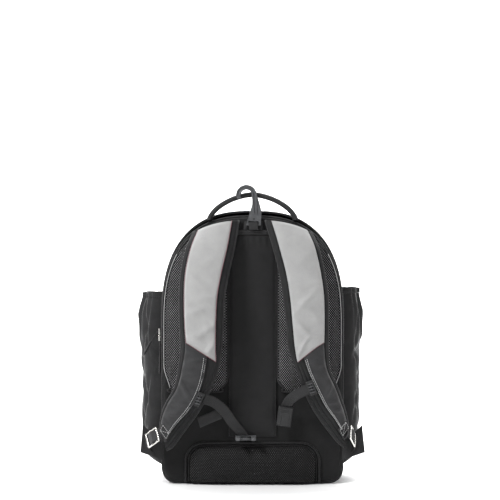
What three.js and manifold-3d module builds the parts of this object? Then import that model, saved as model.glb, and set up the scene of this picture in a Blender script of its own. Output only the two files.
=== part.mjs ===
import * as THREE from "three";
import { mergeVertices } from "three/addons/utils/BufferGeometryUtils.js";
import Module from "manifold-3d";

const wasm = await Module();
wasm.setup();

// Sizes in millimetres. X runs to the right of someone facing the straps, Y runs from the
// straps to the front of the bag, and Z is up from the floor that the base stands on.

// Cloth, seams and the gap that is left between pieces that touch
const seamGap = 0.3;
const clothWall = 2;

// Body shell
const shellHalfWidth = 177;
const shellHeight = 531;
const shoulderHeight = 310;
const archPower = 2.6;
const cornerRadius = 26;
const mainDepth = 146;
const frontLean = 34;
const frontEdgeRound = 9;

// Back panel and the piping round it
const panelInset = 3;
const panelHalfWidth = shellHalfWidth - panelInset;
const panelHeight = 520;
const panelThickness = 12;
const panelFoot = 5;
const pipingRadius = 2.2;

// Front compartment
const frontDepth = 74;
const frontHalfWidth = 142;
const frontFloor = 14;
const frontTop = 402;
const frontZipWidth = 14;

// Main zipper, on the gusset beside the back panel, and its pulls
const zipTapeWidth = 20;
const zipTapeThickness = 1.2;
const zipCoilWidth = 6;
const zipCoilHeight = 1.6;
const zipOffset = 1.5;
const zipEndHeight = 272;
const sliderLength = 12;
const sliderWidth = 9;
const sliderHeight = 4;
const pullWidth = 5;
const pullThickness = 2.6;
const uprightPullLength = 66;
const slantedPullLength = 54;
const slantedPullTilt = 30;

// Bat pockets on the sides
const pocketRecess = 29;
const recessSideBlend = 26;
const recessFootBlend = 44;
const recessHeadBlend = { from: 8, to: 78 };
const pocketHeads = { left: 362, right: 371 };
const pocketReach = { left: 47, right: 41 };
const pocketFloor = 33;
const pocketFrontMargin = 22;
const hemHeight = 10;
const hemExtra = 1.2;
const gatherDepth = 2.2;

// Pads on the back panel
const spineHalfWidth = 48;
const meshPadThickness = 8;
const meshPadEdge = 4;
const meshPadMargin = 2;
const meshPadFoot = 180;
const meshPadHead = 478;
const sleeveThickness = 2.4;
const sleeveFoot = 92;
const sleeveHead = 486;
const sleeveHemHeight = 9;
const sleeveHemThickness = 4;
const lumbarHalfWidth = 122;
const lumbarHeight = 72;
const lumbarThickness = 24;
const lumbarCorner = 27;
const lumbarFoot = 3;
const lumbarFootRound = 7;
const lumbarCornerSteps = 5;
const lumbarPipingOffset = 8;

// Shoulder straps
const strapPadThickness = 10;
const strapPadEdge = 5;
const strapLift = 40;
const strapCrown = 4;
const strapTipThinning = 0.45;
const coverThickness = 2.4;
const coverGap = 1;

// Webbing and hardware
const webWidth = 25;
const webThickness = 1.6;
const lockBar = 2.6;
const lockThickness = 3;
const lockLength = 30;
const sternumWebWidth = 20;
const clipBar = 3;
const clipThickness = 4;
const buckleThickness = 9;
const femaleBuckleLength = 38;
const femaleBuckleWidth = 28;
const maleBuckleWidth = 40;
const maleBuckleDepth = 12;
const maleBuckleShift = 5;
const femaleBuckleTilt = 8;
const prongLength = 18;
const prongWidth = 7;
const anchorThickness = 2.6;
const anchorRise = 6;

// Haul handle and fence hook
const handleRadius = 4.8;
const handleHalfSpan = 84;
const handleRise = 50;
const handlePower = 1.65;
const hookThickness = 5;
const hookFootWidth = 29;
const hookShankWidth = 15;
const hookHeight = 79;
const hookInnerRadius = 11;
const hookTipWidth = 8;
const hookSlotHeight = 3;
const hookBarHeight = 5;
const hookTabWidth = 19;
const hookOffset = 2;
const hookLift = 9;

// Places that follow from the sizes
const rearFace = -(panelThickness + mainDepth + frontDepth) / 2;
const shellRear = rearFace + panelThickness + seamGap;
const shellFront = rearFace + panelThickness + mainDepth;
const pocketRear = shellRear + zipTapeWidth + 5;
const pocketFront = shellFront - pocketFrontMargin;
const strapSeat = meshPadThickness + 2 * seamGap;

// Colours and finishes
const cloth = { color: 0x2e2e2f, roughness: 0.85, metalness: 0 };
const greyCloth = { color: 0xb9b9b8, roughness: 0.8, metalness: 0 };
const mesh = { color: 0x353536, roughness: 0.95, metalness: 0 };
const webbing = { color: 0x28282a, roughness: 0.8, metalness: 0 };
const trim = { color: 0x232324, roughness: 0.7, metalness: 0 };
const plastic = { color: 0x55565a, roughness: 0.4, metalness: 0 };
const nickel = { color: 0xd0d0cd, roughness: 0.3, metalness: 0.9 };

// Number helpers
const lerp = THREE.MathUtils.lerp;
const smoothstep = THREE.MathUtils.smoothstep;
const signedPower = (value, power) => Math.sign(value) * Math.abs(value) ** power;

// A closed geometry with its faces turned outwards
function closedGeometry(positions, indices) {
  const corner = (index) => new THREE.Vector3().fromArray(positions, index * 3);
  let volume = 0;
  for (let i = 0; i < indices.length; i += 3) {
    const [a, b, c] = [corner(indices[i]), corner(indices[i + 1]), corner(indices[i + 2])];
    volume += a.dot(b.cross(c));
  }
  if (volume < 0) indices.reverse();
  const geometry = new THREE.BufferGeometry();
  geometry.setAttribute("position", new THREE.Float32BufferAttribute(positions, 3));
  geometry.setIndex(indices);
  geometry.computeVertexNormals();
  return geometry;
}

function toSolid(geometry) {
  const bare = new THREE.BufferGeometry();
  bare.setAttribute("position", geometry.getAttribute("position").clone());
  if (geometry.index) bare.setIndex(geometry.index.clone());
  const merged = mergeVertices(bare, 1e-4);
  return new wasm.Manifold(
    new wasm.Mesh({
      numProp: 3,
      vertProperties: new Float32Array(merged.getAttribute("position").array),
      triVerts: new Uint32Array(merged.index.array),
    })
  );
}

// One geometry with the others cut out of it
function cutOut(geometry, ...tools) {
  const solid = tools.reduce((left, tool) => left.subtract(toSolid(tool)), toSolid(geometry));
  return fromSolid(solid);
}

function fromSolid(solid) {
  const { vertProperties, triVerts } = solid.getMesh();
  return closedGeometry([...vertProperties], [...triVerts]);
}

// A wall or pad between two surfaces, each a function of u and v from 0 to 1
function wallBetween(outer, inner, columns, rows) {
  const positions = [];
  for (const surface of [outer, inner]) {
    for (let row = 0; row <= rows; row++) {
      for (let column = 0; column <= columns; column++) {
        positions.push(...surface(column / columns, row / rows));
      }
    }
  }
  const indices = [];
  const layer = (columns + 1) * (rows + 1);
  const at = (side, column, row) => side * layer + row * (columns + 1) + column;
  const quad = (a, b, c, d) => indices.push(a, b, c, a, c, d);
  for (let row = 0; row < rows; row++) {
    for (let column = 0; column < columns; column++) {
      quad(at(0, column, row), at(0, column + 1, row), at(0, column + 1, row + 1), at(0, column, row + 1));
      quad(at(1, column, row), at(1, column, row + 1), at(1, column + 1, row + 1), at(1, column + 1, row));
    }
    quad(at(0, 0, row), at(0, 0, row + 1), at(1, 0, row + 1), at(1, 0, row));
    quad(at(0, columns, row + 1), at(0, columns, row), at(1, columns, row), at(1, columns, row + 1));
  }
  for (let column = 0; column < columns; column++) {
    quad(at(0, column + 1, 0), at(0, column, 0), at(1, column, 0), at(1, column + 1, 0));
    quad(at(0, column, rows), at(0, column + 1, rows), at(1, column + 1, rows), at(1, column, rows));
  }
  return closedGeometry(positions, indices);
}

// A band that follows a path in the XZ plane. Its section is a list of [outwards, y] corners.
function bandAlong(path, section, closed) {
  const count = path.length;
  const positions = [];
  path.forEach(([x, z], i) => {
    const before = path[closed ? (i + count - 1) % count : Math.max(i - 1, 0)];
    const after = path[closed ? (i + 1) % count : Math.min(i + 1, count - 1)];
    const tangent = new THREE.Vector2(after[0] - before[0], after[1] - before[1]).normalize();
    for (const [out, y] of section) positions.push(x + tangent.y * out, y, z - tangent.x * out);
  });
  const sides = section.length;
  const indices = [];
  const spans = closed ? count : count - 1;
  for (let i = 0; i < spans; i++) {
    const here = i * sides;
    const next = ((i + 1) % count) * sides;
    for (let j = 0; j < sides; j++) {
      const k = (j + 1) % sides;
      indices.push(here + j, here + k, next + k, here + j, next + k, next + j);
    }
  }
  if (!closed) {
    const outline = section.map(([out, y]) => new THREE.Vector2(out, y));
    const last = (count - 1) * sides;
    const clockwise = THREE.ShapeUtils.isClockWise(outline);
    for (const [a, b, c] of THREE.ShapeUtils.triangulateShape(outline, [])) {
      const [p, q] = clockwise ? [c, a] : [a, c];
      indices.push(p, b, q, last + q, last + b, last + p);
    }
    if (!clockwise) {
      for (let i = 0; i < spans * sides * 6; i += 3) {
        [indices[i], indices[i + 2]] = [indices[i + 2], indices[i]];
      }
      return closedGeometry(positions, indices);
    }
  }
  return closedGeometry(positions, indices);
}

// A round section for a band, centred at a distance out from the path
function roundSection(radius, out, y, sides) {
  return Array.from({ length: sides }, (unused, i) => {
    const angle = (i / sides) * 2 * Math.PI;
    return [out + radius * Math.cos(angle), y + radius * Math.sin(angle)];
  });
}

// The outline of the body: a flat base, round corners, straight sides and an arch.
// Each row is half the width at a height, from the base to near the top of the arch.
const cornerSteps = 3;
const sideSteps = 4;
const archSteps = 10;

function archPoint(angle, half, top) {
  const x = half * signedPower(Math.cos(angle), 2 / archPower);
  const z = shoulderHeight + (top - shoulderHeight) * Math.sin(angle) ** (2 / archPower);
  return [x, z];
}

function outlineRows(half, top, inset, foot) {
  const rows = [];
  const corner = Math.max(cornerRadius - inset, clothWall);
  const side = half - inset;
  for (let i = 0; i <= cornerSteps; i++) {
    const angle = (i / cornerSteps) * (Math.PI / 2);
    rows.push({ half: side - corner * (1 - Math.sin(angle)), z: foot + corner * (1 - Math.cos(angle)) });
  }
  for (let i = 1; i < sideSteps; i++) {
    rows.push({ half: side, z: lerp(foot + corner, shoulderHeight, i / sideSteps) });
  }
  for (let i = 0; i < archSteps; i++) {
    const [x, z] = archPoint((i / archSteps) * (Math.PI / 2), side, top - inset);
    rows.push({ half: x, z });
  }
  return rows;
}

// Half the width of the back panel's outline at any height
function panelHalfAt(z) {
  if (z <= shoulderHeight) return panelHalfWidth;
  const rise = Math.min((z - shoulderHeight) / (panelHeight - shoulderHeight), 1);
  return panelHalfWidth * (1 - rise ** archPower) ** (1 / archPower);
}

// The height of the back panel's top edge at any distance from the middle
function panelTopAt(x) {
  const share = Math.min(Math.abs(x) / panelHalfWidth, 1);
  return shoulderHeight + (panelHeight - shoulderHeight) * (1 - share ** archPower) ** (1 / archPower);
}

// The whole outline as a closed path, up the right side and down the left
function outlinePath(rows) {
  const right = rows.map(({ half, z }) => [half, z]);
  const left = rows.map(({ half, z }) => [-half, z]).reverse();
  return [...right, ...left];
}

// The main compartment's front leans back towards its top
const shellFrontAt = (z) => shellFront - frontLean * (z / shellHeight) ** 2;

// How the gusset runs from the back panel to the front: the share of its depth and of the front edge's round
const gussetProfile = [
  { depth: 0, round: 0 },
  { depth: 0.18, round: 0 },
  { depth: 0.35, round: 0 },
  { depth: 0.62, round: 0 },
  { depth: 0.82, round: 0 },
  { depth: 0.93, round: 0.3 },
  { depth: 1, round: 1 },
];
const gussetColumns = gussetProfile.length - 1;

// The sides are pushed in beside the pockets, which leaves room for what stands in them
function recessAt(y, z) {
  const rear = smoothstep(y, pocketRear, pocketRear + recessSideBlend);
  const across = rear * (1 - smoothstep(y, pocketFront - recessSideBlend, pocketFront));
  const foot = smoothstep(z, cornerRadius + seamGap, cornerRadius + recessFootBlend);
  const top = pocketHeads.right;
  const head = 1 - smoothstep(z, top + recessHeadBlend.from, top + recessHeadBlend.to);
  return pocketRecess * across * foot * head;
}

// One point of the gusset wall at a place on the outline. The wall follows the profile to the front.
function gussetPoint(place, profile, depthIn) {
  const inset = profile.round * frontEdgeRound + depthIn;
  const [x, z] = place(inset);
  const y = lerp(shellRear, shellFrontAt(z), profile.depth);
  return [x - Math.sign(x) * recessAt(y, z), y, z];
}

function gussetWall(placeAt, alongSteps) {
  const surface = (depthIn) => (u, v) => {
    const profile = gussetProfile[Math.round(u * gussetColumns)];
    return gussetPoint((inset) => placeAt(v, inset), profile, depthIn);
  };
  return wallBetween(surface(0), surface(clothWall), gussetColumns, alongSteps);
}

function topGusset() {
  const clear = seamGap / (shellHeight - shoulderHeight);
  const place = (v, inset) => {
    const angle = lerp(clear, Math.PI - clear, v);
    return archPoint(angle, shellHalfWidth - inset, shellHeight - inset);
  };
  return gussetWall(place, 2 * archSteps);
}

function sideGusset(side) {
  const foot = cornerRadius + seamGap;
  const place = (v, inset) => [side * (shellHalfWidth - inset), lerp(foot, shoulderHeight, v)];
  return gussetWall(place, 6);
}

// The base turns up at both corners, and is one flat stretch between them
function basePanel() {
  const steps = 2 * cornerSteps + 1;
  const place = (v, inset) => {
    const corner = Math.max(cornerRadius - inset, clothWall);
    const half = shellHalfWidth - inset;
    const step = Math.round(v * steps);
    const side = step <= cornerSteps ? 1 : -1;
    const angle = (Math.PI / 2) * (1 - (side > 0 ? step : steps - step) / cornerSteps);
    return [side * (half - corner * (1 - Math.sin(angle))), inset + corner * (1 - Math.cos(angle))];
  };
  return gussetWall(place, steps);
}

// A plate or sheet with the body's outline, between two depths that may follow the height
function outlineSheet(rows, rearAt, frontAt, columns) {
  const surface = (depthAt) => (u, v) => {
    const row = rows[Math.round(v * (rows.length - 1))];
    return [lerp(-row.half, row.half, u), depthAt(row.z), row.z];
  };
  return wallBetween(surface(rearAt), surface(frontAt), columns, rows.length - 1);
}

function backPanel() {
  const rows = outlineRows(panelHalfWidth, panelHeight, 0, panelFoot);
  return outlineSheet(rows, () => rearFace, () => rearFace + panelThickness, 2);
}

function frontPanel() {
  const rows = outlineRows(shellHalfWidth, shellHeight, frontEdgeRound, frontEdgeRound);
  const rear = (z) => shellFrontAt(z) + 2 * seamGap;
  return outlineSheet(rows, rear, (z) => rear(z) + clothWall, 2);
}

function panelPiping() {
  const rows = outlineRows(panelHalfWidth, panelHeight, 0, panelFoot);
  const y = rearFace + panelThickness - pipingRadius;
  return bandAlong(outlinePath(rows), roundSection(pipingRadius, pipingRadius + seamGap, y, 5), true);
}

// The front compartment is a bulging shell whose rim lies on the front panel
const frontBulge = (share, power) => (1 - Math.abs(2 * share - 1) ** power) ** (1 / power);

function frontCompartmentPoint(u, v, depthIn) {
  const z = lerp(frontFloor + depthIn, frontTop - depthIn, v);
  const narrowing = 1 - 0.2 * v ** 3 - 0.22 * Math.abs(2 * v - 1) ** 12;
  const x = (2 * u - 1) * (frontHalfWidth * narrowing - depthIn);
  const seat = shellFrontAt(z) + clothWall + 3 * seamGap;
  const fall = 1 - 0.45 * v;
  const depth = (frontDepth - clothWall - 3 * seamGap) * fall * frontBulge(u, 3.4) * frontBulge(v, 4.5);
  return [x, seat + depth * (1 - depthIn / frontDepth), z];
}

const frontSteps = 10;
const frontShare = (step) => (1 - Math.cos((Math.PI * step) / frontSteps)) / 2;

function frontCompartment() {
  const surface = (depthIn) => (u, v) =>
    frontCompartmentPoint(frontShare(u * frontSteps), frontShare(v * frontSteps), depthIn);
  return wallBetween(surface(0), surface(clothWall), frontSteps, frontSteps);
}

// The front zipper crosses the compartment in one of its rows of facets
const frontZipRow = 6;
const frontZipFrom = 0.55;

function frontZipper() {
  const columns = frontSteps - 4;
  const surface = (lift) => (u, v) => {
    const across = frontShare(2 + u * columns);
    const low = frontCompartmentPoint(across, frontShare(frontZipRow), 0);
    const high = frontCompartmentPoint(across, frontShare(frontZipRow + 1), 0);
    const height = Math.hypot(high[2] - low[2], high[1] - low[1]);
    const share = frontZipFrom + (v * frontZipWidth) / height;
    return [0, 1, 2].map((axis) => lerp(low[axis], high[axis], share) + (axis === 1 ? lift : 0));
  };
  return wallBetween(surface(2 * seamGap + zipTapeThickness), surface(2 * seamGap), columns, 1);
}

// Main zipper: a tape with a raised coil, along the gusset beside the back panel
function mainZipper() {
  const points = [];
  const seat = zipTapeThickness;
  points.push([shellHalfWidth, zipEndHeight]);
  for (let i = 0; i <= 2 * archSteps; i++) {
    points.push(archPoint((i / (2 * archSteps)) * Math.PI, shellHalfWidth, shellHeight));
  }
  points.push([-shellHalfWidth, zipEndHeight]);
  const near = shellRear + zipOffset;
  const far = near + zipTapeWidth;
  const middle = (near + far) / 2;
  const base = 2 * seamGap;
  const section = [
    [base, near],
    [base + seat, near],
    [base + seat, middle - zipCoilWidth / 2],
    [base + seat + zipCoilHeight, middle - zipCoilWidth / 4],
    [base + seat + zipCoilHeight, middle + zipCoilWidth / 4],
    [base + seat, middle + zipCoilWidth / 2],
    [base + seat, far],
    [base, far],
  ];
  return bandAlong(points, section, false);
}

// A bevelled block, centred on its own middle
function block(width, depth, height, bevel) {
  const half = { x: width / 2 - bevel, z: height / 2 - bevel };
  const shape = new THREE.Shape();
  shape.moveTo(-half.x, -half.z);
  shape.lineTo(half.x, -half.z);
  shape.lineTo(half.x, half.z);
  shape.lineTo(-half.x, half.z);
  shape.closePath();
  const geometry = new THREE.ExtrudeGeometry(shape, {
    depth: depth - 2 * bevel,
    bevelSize: bevel,
    bevelThickness: bevel,
    bevelSegments: 1,
    steps: 1,
  });
  geometry.translate(0, 0, -depth / 2 + bevel);
  geometry.rotateX(Math.PI / 2);
  return geometry;
}

// A flat shape in the XZ plane made solid towards +Y from zero
function plate(shape, thickness, curveSegments = 6) {
  const geometry = new THREE.ExtrudeGeometry(shape, { depth: thickness, bevelEnabled: false, curveSegments });
  geometry.rotateX(Math.PI / 2);
  geometry.translate(0, thickness, 0);
  return geometry;
}

function polygon(points) {
  return new THREE.Shape(points.map(([x, z]) => new THREE.Vector2(x, z)));
}

// Pads on the back panel
function meshPad(side) {
  const inner = spineHalfWidth + 2 * seamGap;
  const span = (v) => {
    const z = lerp(meshPadFoot, meshPadHead, v);
    const footRound = 12 * (1 - smoothstep(v, 0, 0.08));
    const sideTaper = 14 * (1 - smoothstep(v, -0.02, 0.18));
    return { z, near: inner + footRound, far: panelHalfAt(z) - meshPadMargin - sideTaper };
  };
  const surface = (thicknessAt) => (u, v) => {
    const { z, near, far } = span(v);
    return [side * lerp(near, far, u), rearFace - seamGap - thicknessAt(u, v), z];
  };
  const crown = (u, v) => (1 - Math.abs(2 * u - 1) ** 4) * (1 - Math.abs(2 * v - 1) ** 10);
  const face = (u, v) => lerp(meshPadEdge, meshPadThickness, crown(u, v));
  return wallBetween(surface(face), surface(() => 0), 5, 11);
}

function spineStrip(foot, head, thickness) {
  const surface = (depth) => (u, v) => [
    lerp(-spineHalfWidth, spineHalfWidth, u),
    rearFace - seamGap - depth,
    lerp(foot, head, v),
  ];
  return wallBetween(surface(thickness), surface(0), 2, 2);
}

function spineSleeve() {
  return spineStrip(sleeveFoot, sleeveHead, sleeveThickness);
}

function sleeveHem() {
  const foot = sleeveHead + seamGap;
  return spineStrip(foot, foot + sleeveHemHeight, sleeveHemThickness);
}

// The lumbar pad's outline: square below, round corners above
function lumbarRows(grow) {
  const rows = [];
  const half = lumbarHalfWidth + grow;
  const top = lumbarHeight + grow;
  const corner = lumbarCorner + grow;
  rows.push({ half: half - lumbarFootRound, z: lumbarFoot });
  rows.push({ half, z: lumbarFoot + lumbarFootRound });
  for (let i = 0; i <= lumbarCornerSteps; i++) {
    const angle = (i / lumbarCornerSteps) * (Math.PI / 2);
    rows.push({ half: half - corner * (1 - Math.cos(angle)), z: top - corner * (1 - Math.sin(angle)) });
  }
  return rows;
}

function lumbarPad() {
  const rows = lumbarRows(0);
  const last = rows.length - 1;
  const low = rows[0].z;
  const crown = (u, z) => {
    const up = (z - low) / (lumbarHeight - low);
    return (1 - Math.abs(2 * u - 1) ** 6) * (1 - Math.abs(2 * up - 1) ** 5);
  };
  const surface = (pad) => (u, v) => {
    const row = rows[Math.round(v * last)];
    const share = (1 - Math.cos(Math.PI * u)) / 2;
    const depth = pad ? lerp(lumbarThickness * 0.35, lumbarThickness, crown(share, row.z)) : 0;
    return [lerp(-row.half, row.half, share), rearFace - seamGap - depth, row.z];
  };
  return wallBetween(surface(true), surface(false), 8, last);
}

function lumbarPiping() {
  const rows = lumbarRows(lumbarPipingOffset - pipingRadius);
  const path = [...rows.map(({ half, z }) => [half, z]), ...rows.map(({ half, z }) => [-half, z]).reverse()];
  return bandAlong(path, roundSection(pipingRadius, 0, rearFace - seamGap - pipingRadius, 5), false);
}

// Shoulder straps. Each row is a rung across the strap: where its outer and inner ends are, as
// shares of the back panel's half width and height, how far it lifts off the back, as a share of
// the strap's lift, and where across it the covers begin and where the grey and the black one end.
const strapRungs = {
  left: [
    { outX: 0.655, outZ: 0.945, inX: 0.149, inZ: 0.9885, lift: -0.2, from: 0.09, grey: 0.85, black: 0.62 },
    { outX: 0.736, outZ: 0.884, inX: 0.195, inZ: 0.894, lift: 0.25, from: 0.09, grey: 0.855, black: 0.62 },
    { outX: 0.79, outZ: 0.8, inX: 0.264, inZ: 0.79, lift: 0.55, from: 0.09, grey: 0.85, black: 0.63 },
    { outX: 0.807, outZ: 0.709, inX: 0.307, inZ: 0.703, lift: 0.85, from: 0.1, grey: 0.84, black: 0.64 },
    { outX: 0.801, outZ: 0.597, inX: 0.32, inZ: 0.609, lift: 1, from: 0.11, grey: 0.83, black: 0.65 },
    { outX: 0.79, outZ: 0.522, inX: 0.336, inZ: 0.522, lift: 1, from: 0.12, grey: 0.85, black: 0.65 },
    { outX: 0.813, outZ: 0.447, inX: 0.379, inZ: 0.439, lift: 0.93, from: 0.1, grey: 0.93, black: 0.68 },
    { outX: 0.857, outZ: 0.372, inX: 0.477, inZ: 0.353, lift: 0.82, from: 0.08, grey: 0.93, black: 0.72 },
    { outX: 0.947, outZ: 0.316, inX: 0.603, inZ: 0.276, lift: 0.62, from: 0.06, grey: 0.93, black: 0.72 },
    { outX: 1.003, outZ: 0.27, inX: 0.73, inZ: 0.218, lift: 0.48, from: 0.06, grey: 0.93, black: 0.63 },
    { outX: 1.025, outZ: 0.22, inX: 0.879, inZ: 0.15, lift: 0.37, from: 0.06, grey: 0.93, black: 0.52 },
    { outX: 1.011, outZ: 0.185, inX: 0.955, inZ: 0.133, lift: 0.3, from: 0.1, grey: 0.93, black: 0.45 },
  ],
  right: [
    { outX: 0.66, outZ: 0.943, inX: 0.138, inZ: 0.9885, lift: -0.2, from: 0.1, grey: 0.86, black: 0.66 },
    { outX: 0.736, outZ: 0.884, inX: 0.217, inZ: 0.902, lift: 0.25, from: 0.09, grey: 0.86, black: 0.66 },
    { outX: 0.796, outZ: 0.792, inX: 0.302, inZ: 0.788, lift: 0.55, from: 0.09, grey: 0.85, black: 0.67 },
    { outX: 0.832, outZ: 0.703, inX: 0.345, inZ: 0.694, lift: 0.85, from: 0.1, grey: 0.85, black: 0.68 },
    { outX: 0.832, outZ: 0.59, inX: 0.374, inZ: 0.607, lift: 1, from: 0.1, grey: 0.85, black: 0.69 },
    { outX: 0.833, outZ: 0.524, inX: 0.397, inZ: 0.52, lift: 1, from: 0.11, grey: 0.84, black: 0.69 },
    { outX: 0.846, outZ: 0.443, inX: 0.482, inZ: 0.439, lift: 0.93, from: 0.09, grey: 0.9, black: 0.67 },
    { outX: 0.936, outZ: 0.37, inX: 0.577, inZ: 0.353, lift: 0.82, from: 0.07, grey: 0.9, black: 0.63 },
    { outX: 0.989, outZ: 0.318, inX: 0.678, inZ: 0.285, lift: 0.62, from: 0.06, grey: 0.9, black: 0.59 },
    { outX: 1.025, outZ: 0.281, inX: 0.799, inZ: 0.226, lift: 0.48, from: 0.06, grey: 0.9, black: 0.52 },
    { outX: 1.06, outZ: 0.228, inX: 0.936, inZ: 0.168, lift: 0.37, from: 0.06, grey: 0.9, black: 0.46 },
    { outX: 1.058, outZ: 0.195, inX: 1.015, inZ: 0.145, lift: 0.3, from: 0.1, grey: 0.9, black: 0.45 },
  ],
};

// The grey cover ends in a slant: the place along the strap at its outer and at its inner edge
const greyCoverEnd = { outer: 0.436, inner: 0.516 };

// The black cover ends here, and the webbing is sewn on from there to the tip
const coverEnd = 0.9;

function strapCurves(name) {
  const sign = name === "left" ? -1 : 1;
  const rungs = strapRungs[name];
  const place = (x, z, lift) =>
    new THREE.Vector3(sign * x * panelHalfWidth, rearFace - strapSeat - lift * strapLift, z * panelHeight);
  return {
    outer: new THREE.CatmullRomCurve3(rungs.map((rung) => place(rung.outX, rung.outZ, rung.lift))),
    inner: new THREE.CatmullRomCurve3(rungs.map((rung) => place(rung.inX, rung.inZ, rung.lift))),
    cover: new THREE.CatmullRomCurve3(
      rungs.map((rung) => new THREE.Vector3(rung.from, rung.grey, rung.black))
    ),
  };
}

const straps = { left: strapCurves("left"), right: strapCurves("right") };

// The pad is domed across and gets thinner towards its tip
const tipShare = (along) => 1 - strapTipThinning * smoothstep(along, 0.8, 1);
const strapDome = (across, along) => strapCrown * tipShare(along) * (1 - (2 * across - 1) ** 2);

function strapPadAt(across, along) {
  return tipShare(along) * lerp(strapPadEdge, strapPadThickness, 1 - (2 * across - 1) ** 4);
}

// A point on the strap: across from its outer edge, along from its top, and out from its flat middle
function strapPlace(name, across, along, out) {
  const { outer, inner } = straps[name];
  const point = new THREE.Vector3().lerpVectors(outer.getPoint(along), inner.getPoint(along), across);
  point.y -= out;
  return point;
}

// The same, measured out from the strap's domed back face
function strapPoint(name, across, along, out) {
  return strapPlace(name, across, along, strapDome(across, along) + out);
}

function strapPad(name) {
  const face = (u, v) => strapPoint(name, u, v, strapPadAt(u, v)).toArray();
  const back = (u, v) => strapPoint(name, u, v, 0).toArray();
  return wallBetween(face, back, 5, 18);
}

// A cover over part of the strap, from one place along it to another at each point across
function strapCover(name, colour, startAt, endAt, steps) {
  const surface = (out) => (u, v) => {
    const along = lerp(startAt(u), endAt(u), v);
    const { x: from, y: grey, z: black } = straps[name].cover.getPoint(along);
    const across = lerp(from, colour === "grey" ? grey : black, u);
    return strapPoint(name, across, along, strapPadAt(across, along) + out).toArray();
  };
  return wallBetween(surface(coverGap + coverThickness), surface(coverGap), 5, steps);
}

const greyEndAt = (u) => lerp(greyCoverEnd.outer, greyCoverEnd.inner, u);

function greyCover(name) {
  return strapCover(name, "grey", () => 0, greyEndAt, 9);
}

// The black cover is narrower than the grey one, so it begins along the outer part of the slant only
function blackStartAt(name, u) {
  let along = greyCoverEnd.outer;
  for (let round = 0; round < 3; round++) {
    const { x: from, y: grey, z: black } = straps[name].cover.getPoint(along);
    along = greyEndAt((u * (black - from)) / (grey - from));
  }
  return along + (2 * seamGap) / panelHeight;
}

function blackCover(name) {
  return strapCover(name, "black", (u) => blackStartAt(name, u), () => coverEnd, 8);
}

// Bat pockets: a wall that runs out from the gusset, round the hollow and back, closed at its foot.
// Each row gives how high it is, as a share of the pocket, and how far the wall stands out.
const pocketRows = [
  { height: 0, reach: 0.04 },
  { height: 0.025, reach: 0.5 },
  { height: 0.07, reach: 0.8 },
  { height: 0.15, reach: 0.9 },
  { height: 0.35, reach: 0.91 },
  { height: 0.56, reach: 0.91 },
  { height: 0.66, reach: 0.95 },
  { height: 0.76, reach: 1 },
  { height: 0.89, reach: 0.99 },
  { height: 0.955, reach: 0.88 },
  { height: 1, reach: 0.76 },
];

// The folds of each pocket: where they lie up and round the wall, how deep and how wide they are
const pocketFolds = [
  { height: 0.62, around: 0.3, depth: 4, tall: 0.12, wide: 0.12 },
  { height: 0.4, around: 0.62, depth: 3, tall: 0.1, wide: 0.2 },
  { height: 0.2, around: 0.35, depth: 3, tall: 0.06, wide: 0.25 },
];

function pocketPoint(name, around, height, reach, depthIn) {
  const sign = name === "left" ? -1 : 1;
  const angle = around * Math.PI;
  const middle = (pocketRear + pocketFront) / 2;
  const half = (pocketFront - pocketRear) / 2 - depthIn;
  const gathers = gatherDepth * Math.cos(9 * angle) * smoothstep(height, 0.72, 0.97);
  const dents = pocketFolds.reduce((sum, fold) => {
    const up = (height - fold.height) / fold.tall;
    const round = (around - fold.around) / fold.wide;
    return sum + fold.depth * Math.exp(-up * up - round * round);
  }, 0);
  const full = Math.max(pocketReach[name] * reach - depthIn - dents - gathers, 0);
  const out = full * Math.sin(angle) ** 0.6;
  const y = middle - half * signedPower(Math.cos(angle), 0.75);
  const z = lerp(pocketFloor, pocketHeads[name], height);
  return [sign * (shellHalfWidth + seamGap + out), y, z];
}

function pocketWall(name) {
  const last = pocketRows.length - 1;
  const surface = (depthIn) => (u, v) => {
    const row = pocketRows[Math.round(v * last)];
    return pocketPoint(name, u, row.height, row.reach, depthIn);
  };
  return wallBetween(surface(0), surface(clothWall), 16, last);
}

function pocketHem(name) {
  const reach = pocketRows[pocketRows.length - 1].reach;
  const surface = (grow) => (u, v) => {
    const [x, y, z] = pocketPoint(name, u, 1, reach, clothWall / 2 - grow);
    return [x + Math.sign(x) * seamGap, y, z + seamGap + v * hemHeight];
  };
  const grow = clothWall / 2 + hemExtra;
  return wallBetween(surface(grow), surface(-grow), 16, 1);
}

// Haul handle: a cord that stands up in an arch from the panel's top seam
function haulHandle() {
  const footX = handleHalfSpan;
  const foot = panelTopAt(footX) + 2 * pipingRadius + 2 * seamGap + handleRadius * 0.5;
  const y = rearFace + panelThickness / 2;
  const steps = 10;
  const points = [];
  for (let i = 0; i <= steps; i++) {
    const share = -Math.cos((i / steps) * Math.PI);
    const rise = (1 - Math.abs(share) ** handlePower) ** (1 / handlePower);
    points.push(new THREE.Vector3(share * footX, y, foot + handleRise * rise));
  }
  const path = new THREE.CatmullRomCurve3(points);
  const ring = new THREE.Shape(
    roundSection(handleRadius, 0, 0, 8).map(([a, b]) => new THREE.Vector2(a, b))
  );
  return new THREE.ExtrudeGeometry(ring, { steps: 18, extrudePath: path, bevelEnabled: false });
}

// Fence hook: a flat J whose foot has a slot for its webbing tab
const hookFoot = sleeveHead + sleeveHemHeight + hookLift;
const hookCentreX = -hookInnerRadius - 1;
const hookRear = rearFace - webThickness - 2 * seamGap;

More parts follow.
